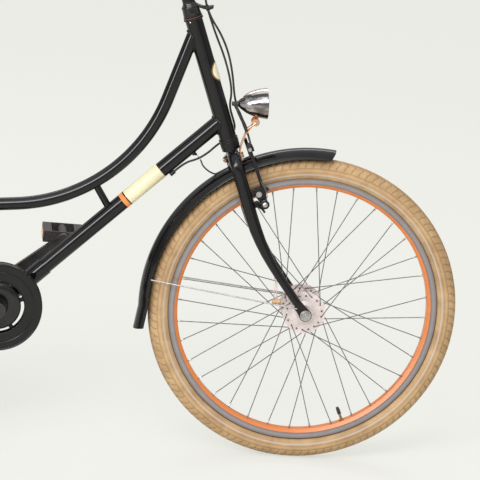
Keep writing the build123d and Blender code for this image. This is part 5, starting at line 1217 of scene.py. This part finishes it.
# ---------------------------------------------------------------- front hub's connector
def make_hub_connector():
    """The connector of the lamp's wires: a tube with a waist laid along the fork's foot, and two wires."""
    middle_place = steer((0.0010, -0.0470, 0.0455))
    way = unit(steer((0.0100, 0, 0.0425)) - steer((-0.0082, 0, 0.0473)))
    along = np.linspace(-0.0095, 0.0095, 12)
    half_size = [0.0035, 0.0052, 0.0057, 0.0057, 0.0057, 0.0050]
    body = tubes(middle_place + along[:, None] * way, half_size + half_size[::-1], 20)
    piece("hub_connector", "steering", LOOKS["tan_plastic"], [surface(body)], crease=35)
    wires = []
    for shift in (-0.0016, 0.0016):
        route = steer([(0.0020 + shift, -0.0480, 0.0500), (0.0020 + shift * 1.8, -0.0500, 0.0600),
                       (0.0060 + shift * 1.5, -0.0510, 0.0720), (0.0110 + shift, -0.0490, 0.0860),
                       (0.0125 + shift, -0.0470, 0.0980)])
        wires.append(surface(tubes(eased(route, 8), 0.0010, 8, up=(0.9, 0.1, 0.3))))
    piece("hub_wires", "steering", LOOKS["wire_sheath"], wires)


# ---------------------------------------------------------------- even shading of the frame's own nodes
EVEN_MERGE = 0.00002
EVEN_ANGLE = radians(30)


def even_shade():
    """A modifier's nodes: the stored normals dropped, doubles merged, then the faces shaded smooth except
    over the edges that bend more than the even angle."""
    group = bpy.data.node_groups.new("even_shade", "GeometryNodeTree")
    for way in ("INPUT", "OUTPUT"):
        group.interface.new_socket("Geometry", in_out=way, socket_type="NodeSocketGeometry")
    add, join = group.nodes.new, group.links.new
    bare, merge = add("GeometryNodeRemoveAttribute"), add("GeometryNodeMergeByDistance")
    bare.inputs["Name"].default_value = "custom_normal"
    merge.inputs["Distance"].default_value = EVEN_MERGE
    angle, low = add("GeometryNodeInputMeshEdgeAngle"), add("ShaderNodeMath")
    low.operation = "LESS_THAN"
    low.inputs[1].default_value = EVEN_ANGLE
    faces, edges = add("GeometryNodeSetShadeSmooth"), add("GeometryNodeSetShadeSmooth")
    edges.domain = "EDGE"
    join(angle.outputs["Unsigned Angle"], low.inputs[0])
    join(low.outputs["Value"], edges.inputs["Shade Smooth"])
    source = add("NodeGroupInput").outputs[0]
    for node in (bare, merge, faces, edges):
        join(source, node.inputs["Geometry"])
        source = node.outputs["Geometry"]
    join(source, add("NodeGroupOutput").inputs[0])
    return group


# ---------------------------------------------------------------- saddle and grips
def coordinates(mesh):
    """The mesh's points as an array."""
    flat = np.empty(len(mesh.vertices) * 3)
    mesh.vertices.foreach_get("co", flat)
    return flat.reshape(-1, 3)


def settle(made):
    """The mesh that the object's modifiers give becomes its own."""
    mesh = bpy.data.meshes.new_from_object(made.evaluated_get(bpy.context.evaluated_depsgraph_get()))
    made.modifiers.clear()
    made.data = mesh


PRESSURE = 4.0
PRESSURE_STEPS = 20


def plump(made, voxel, cap):
    """Padding under pressure: an even mesh, swollen as cloth for some steps, no point moved past a cap."""
    even = made.modifiers.new("even", "REMESH")
    even.mode = "VOXEL"
    even.voxel_size = voxel
    settle(made)
    before = coordinates(made.data)
    cloth = made.modifiers.new("air", "CLOTH")
    cloth.settings.use_pressure = True
    cloth.settings.uniform_pressure_force = PRESSURE
    cloth.settings.effector_weights.gravity = 0.0
    for step in range(1, PRESSURE_STEPS + 1):
        bpy.context.scene.frame_set(step)
    evaluated = made.evaluated_get(bpy.context.evaluated_depsgraph_get())
    move = coordinates(evaluated.data) - before
    made.modifiers.clear()
    bpy.context.scene.frame_set(1)
    size = np.linalg.norm(move, axis=1, keepdims=True)
    move *= np.minimum(1.0, cap / np.maximum(size, 1e-9))
    made.data.vertices.foreach_set("co", (before + move).reshape(-1))
    made.data.update()
    made.data.shade_smooth()
    smooth = made.modifiers.new("smooth", "SUBSURF")
    smooth.levels = smooth.render_levels = 1


# half of the saddle from its nose to its tail: place ahead of the post, width, height above its base
SADDLE = [(0.122, 0.020, 0.016), (0.112, 0.040, 0.026), (0.060, 0.056, 0.036), (0.000, 0.092, 0.044),
          (-0.060, 0.170, 0.050), (-0.105, 0.200, 0.052), (-0.132, 0.168, 0.046), (-0.142, 0.110, 0.034)]
POST_TOP = BRACKET + 0.520 * SEAT_WAY
SADDLE_BASE = POST_TOP[2] + 0.0285   # height of the saddle's foot


def saddle_edge(share, height):
    """A line round the saddle at a share of its width and of its height, closed."""
    line = eased(SADDLE, 7)
    half = np.stack([line[:, 0], line[:, 1] / 2 * share, SADDLE_BASE + line[:, 2] * height], -1)
    other = half[::-1] * np.array([1, -1, 1])
    return np.concatenate([half, other]) + np.array([POST_TOP[0], 0, 0])


NEARLY_UP = (0.05, 0.02, 1.0)   # a direction that no seam or bead runs along


def stitches(line, length, radius, every):
    """Short rounded threads laid end to end along a line, one for each step."""
    run = np.concatenate([[0], np.cumsum(np.linalg.norm(np.diff(line, axis=0), axis=1))])
    starts = np.arange(every / 2, run[-1] - every, every)
    places = starts[:, None] + np.array([0.0, 0.25, 0.75, 1.0]) * length
    paths = np.stack([np.interp(places, run, line[:, k]) for k in range(3)], -1)
    return surface(tubes(paths, np.array([0.35, 1.0, 1.0, 0.35]) * radius, 6, up=NEARLY_UP))


def make_saddle():
    """Saddle: rounded sections along its length under pressure, its piping, stitched seam and base plate.

    A section's point is half the width times the cosine of its angle, and the height times a share that
    grows with the sine, both raised to small powers so that the sides are round and the foot is flat."""
    line = eased(SADDLE, 7)
    angle = turn_round(40)[None]
    sine = np.sin(angle)
    half = line[:, 1:2] / 2 - 0.0035
    side = half * squared(np.cos(angle), 0.75)
    rise = np.where(sine > 0, 0.36 + 0.60 * np.abs(sine) ** 0.85, 0.36 - 0.26 * np.abs(sine) ** 0.5)
    dip = 0.004 * np.exp(-(side / 0.016) ** 2) * np.clip((0.02 - line[:, :1]) / 0.06, 0, 1) * (sine > 0)
    ahead = POST_TOP[0] + line[:, :1] + 0 * angle
    points = np.stack([ahead, side, SADDLE_BASE + line[:, 2:3] * rise - dip], -1)
    leather = LOOKS["saddle_leather"]
    made = piece("saddle_padded", "frame", leather, [surface(points)], crease=180)
    plump(made, 0.005, 0.006)
    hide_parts("saddle")
    piping = saddle_edge(0.985, 0.30)
    piece("saddle_piping", "frame", leather, [closed_bead(piping, 0.0026, NEARLY_UP)])
    piece("saddle_seam", "frame", LOOKS["seam_thread"],
          [stitches(part, 0.0040, 0.0006, 0.0058) for part in np.split(saddle_edge(1.012, 0.42), 2)])
    plate = np.stack([saddle_edge(0.90, 0.02), saddle_edge(0.97, 0.10), saddle_edge(0.97, 0.22)])
    piece("saddle_base", "frame", LOOKS["black_plastic"], [surface(plate)], crease=60)


def make_grips():
    """Grips: a swollen sleeve along each end of the bar, sewn below, with a turned ring at both ends.

    The bar's direction is the longest one of the solid grip's points. The sleeve's radius is a low arch with
    two soft waves, drawn in at both ends."""
    leather = LOOKS["grip_rubber"]
    ring = [(0.0112, 0.0), (0.0154, 0.0), (0.0158, 0.0014), (0.0154, 0.0044), (0.0112, 0.0044)]
    for side, word in ((1, "left"), (-1, "right")):
        solid = coordinates(NODES[f"grip_{word}"].data)
        centre = solid.mean(0)
        way = np.linalg.svd(solid - centre, full_matrices=False)[2][0]
        way = way * np.sign(way[1] * side)
        reach = (solid - centre) @ way
        start = centre + way * (reach.min() + 0.001)
        along = np.linspace(0.0, reach.max() - reach.min() - 0.002, 34)
        share = along / along[-1]
        radius = 0.0128 + 0.0016 * np.sin(pi * share) + 0.0007 * np.sin(share * 2 * pi * 2) ** 2
        radius *= np.clip(np.minimum(along, along[-1] - along) / 0.004, 0.0, 1.0) ** 0.4 * 0.25 + 0.75
        points = tubes(start + along[:, None] * way, radius, 32)
        made = piece(f"grip_{word}_padded", "steering", leather, [surface(points)], crease=180)
        plump(made, 0.004, 0.0022)
        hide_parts(f"grip_{word}")
        rings = [surface(turned(ring, start + way * place, way, 48), wrap_rows=True)
                 for place in (0.0, along[-1] - ring[-1][1])]
        piece(f"grip_{word}_rings", "steering", LOOKS["black_metal"], rings)
        down = unit(np.cross(way, np.cross(way, [0, 0, 1.0])))
        line = start + way * np.linspace(0.008, along[-1] - 0.008, 24)[:, None] + down * 0.0150
        piece(f"grip_{word}_seam", "steering", LOOKS["seam_thread"],
              [stitches(line, 0.0036, 0.0006, 0.0054)])


# ---------------------------------------------------------------- chain case, cranks and pedals
CASE_FORE = 0.092             # radius of the case round the bracket
CASE_REAR = 0.052             # and round the rear axle
CASE_FACE = -0.0660           # its outer face, from the wheels' plane


def case_outline(inset, across):
    """The case's outline: for each direction, the point of whichever end circle reaches further."""
    way = wheel_way(turn_round(240))
    fore = (way @ BRACKET + CASE_FORE > way @ REAR_AXLE + CASE_REAR)[:, None]
    line = np.where(fore, BRACKET, REAR_AXLE) + (np.where(fore, CASE_FORE, CASE_REAR) - inset) * way
    line[:, 1] = across
    return line


def make_case_trim():
    """Rounded edges and a raised bead of the chain case, the lip of its opening, the chainwheel's cover."""
    lacquer = LOOKS["frame_paint"]
    rows = [closed_bead(case_outline(0.0012, across), 0.0022, NEARLY_UP, 10) for across in (-0.0645, -0.0475)]
    rows += [closed_bead(case_outline(0.0165, CASE_FACE), 0.0016, NEARLY_UP, 8)]
    piece("chain_case_beads", "frame", lacquer, rows)
    piece("chain_case_lip", "frame", lacquer,
          [torus(BRACKET + CASE_FACE * LEFT, LEFT, 0.0568, 0.0014, 96, 10)])
    disc = [(0.0, 0.0), (0.020, 0.0), (0.022, -0.0024), (0.030, -0.0034), (0.0455, -0.0030),
            (0.0482, -0.0014), (0.0486, 0.0)]
    piece("chainwheel_cover", "crankset", LOOKS["black_gloss"],
          [surface(turned(disc, BRACKET - 0.0565 * LEFT, LEFT, 96), capped=False)], crease=35)


def lens_plate(centre, across, up, out, half_width, half_height, depth):
    """A moulded lens: rings of a rounded oblong shrinking to its middle, with small ridges in its face."""
    ring = np.array([1.0, 1.0, 0.97, 0.92, 0.80, 0.66, 0.52, 0.38, 0.24, 0.10])[:, None]
    angle = turn_round(48)[None]
    wide = half_width * ring * squared(np.cos(angle), 0.35)
    high = half_height * ring * squared(np.sin(angle), 0.35)
    lift = depth * np.array([0.0, 0.6, 0.9] + [1.0] * 7)[:, None]
    lift = lift + depth * 0.12 * np.sin(wide / 0.0016) * (ring < 0.9)
    return surface(centre + wide[..., None] * across + high[..., None] * up + lift[..., None] * out)


PEDAL_MIDDLE = 0.140          # from the wheels' plane


def make_pedal_trim():
    """Reflectors in the pedals' ends, and the caps of the cranks and pedals."""
    cap = [(0.0, 0.0), (0.0085, 0.0), (0.0085, 0.0012), (0.0065, 0.0022), (0.0, 0.0024)]
    crank_cap = [(0.0, 0.0), (0.0105, 0.0), (0.0110, 0.0006), (0.0090, 0.0018), (0.0, 0.0022)]
    up = np.array([0.0, 0.0, 1.0])
    caps = []
    for side, word in ((1, "left"), (-1, "right")):
        body, away = f"{word}_pedal", side * LEFT
        centre = middle(f"pedal_{word}")
        centre[1] = side * PEDAL_MIDDLE
        ends = [np.array([way, 0.0, 0.0]) for way in (1.0, -1.0)]
        plates = [lens_plate(centre + 0.0412 * end, LEFT, up, end, 0.026, 0.0062, 0.0016) for end in ends]
        piece(f"pedal_{word}_reflectors", body, LOOKS["amber_lens"], plates, crease=30)
        piece(f"pedal_{word}_cap", body, LOOKS["black_plastic"],
              [surface(turned(cap, centre + 0.0388 * away, away, 28), capped=False)], crease=35)
        caps.append(surface(turned(crank_cap, BRACKET + 0.0912 * away, away, 40), capped=False))
    piece("crank_caps", "crankset", LOOKS["black_plastic"], caps, crease=35)


# ---------------------------------------------------------------- finishes of the frame's own nodes
def finish_nodes():
    """Every node of the frame gets its slot's finish and the even shading."""
    slots = {subpart["node"]: subpart["material_slot"] for subpart in frame["record"]["subparts"]}
    shading = even_shade()
    for name, node in NODES.items():
        finish = {"rim_alloy": name, "tyre_rubber": "black_rubber"}.get(slots[name], slots[name])
        # copper stands partly for the bracket's warm metal and partly for a painted warm reflection along its edge
        if name == "lamp_bracket":
            finish = "copper"
        node.data.materials.clear()
        node.data.materials.append(LOOKS[finish])
        node.modifiers.new("even_shade", "NODES").node_group = shading


make_camera()
make_studio()
make_looks()
for end, axle in (("front", FRONT_AXLE), ("rear", REAR_AXLE)):
    make_tyre(end, axle)
    make_spokes(end, axle)
    make_hub(end, axle)
    make_valve(end, axle)
make_guard_beads()
make_cables()
make_welds()
make_marks()
make_headset()
make_guide()
make_spring()
make_headlamp()
make_front_brake()
make_hub_connector()
make_saddle()
make_grips()
make_case_trim()
make_pedal_trim()
finish_nodes()
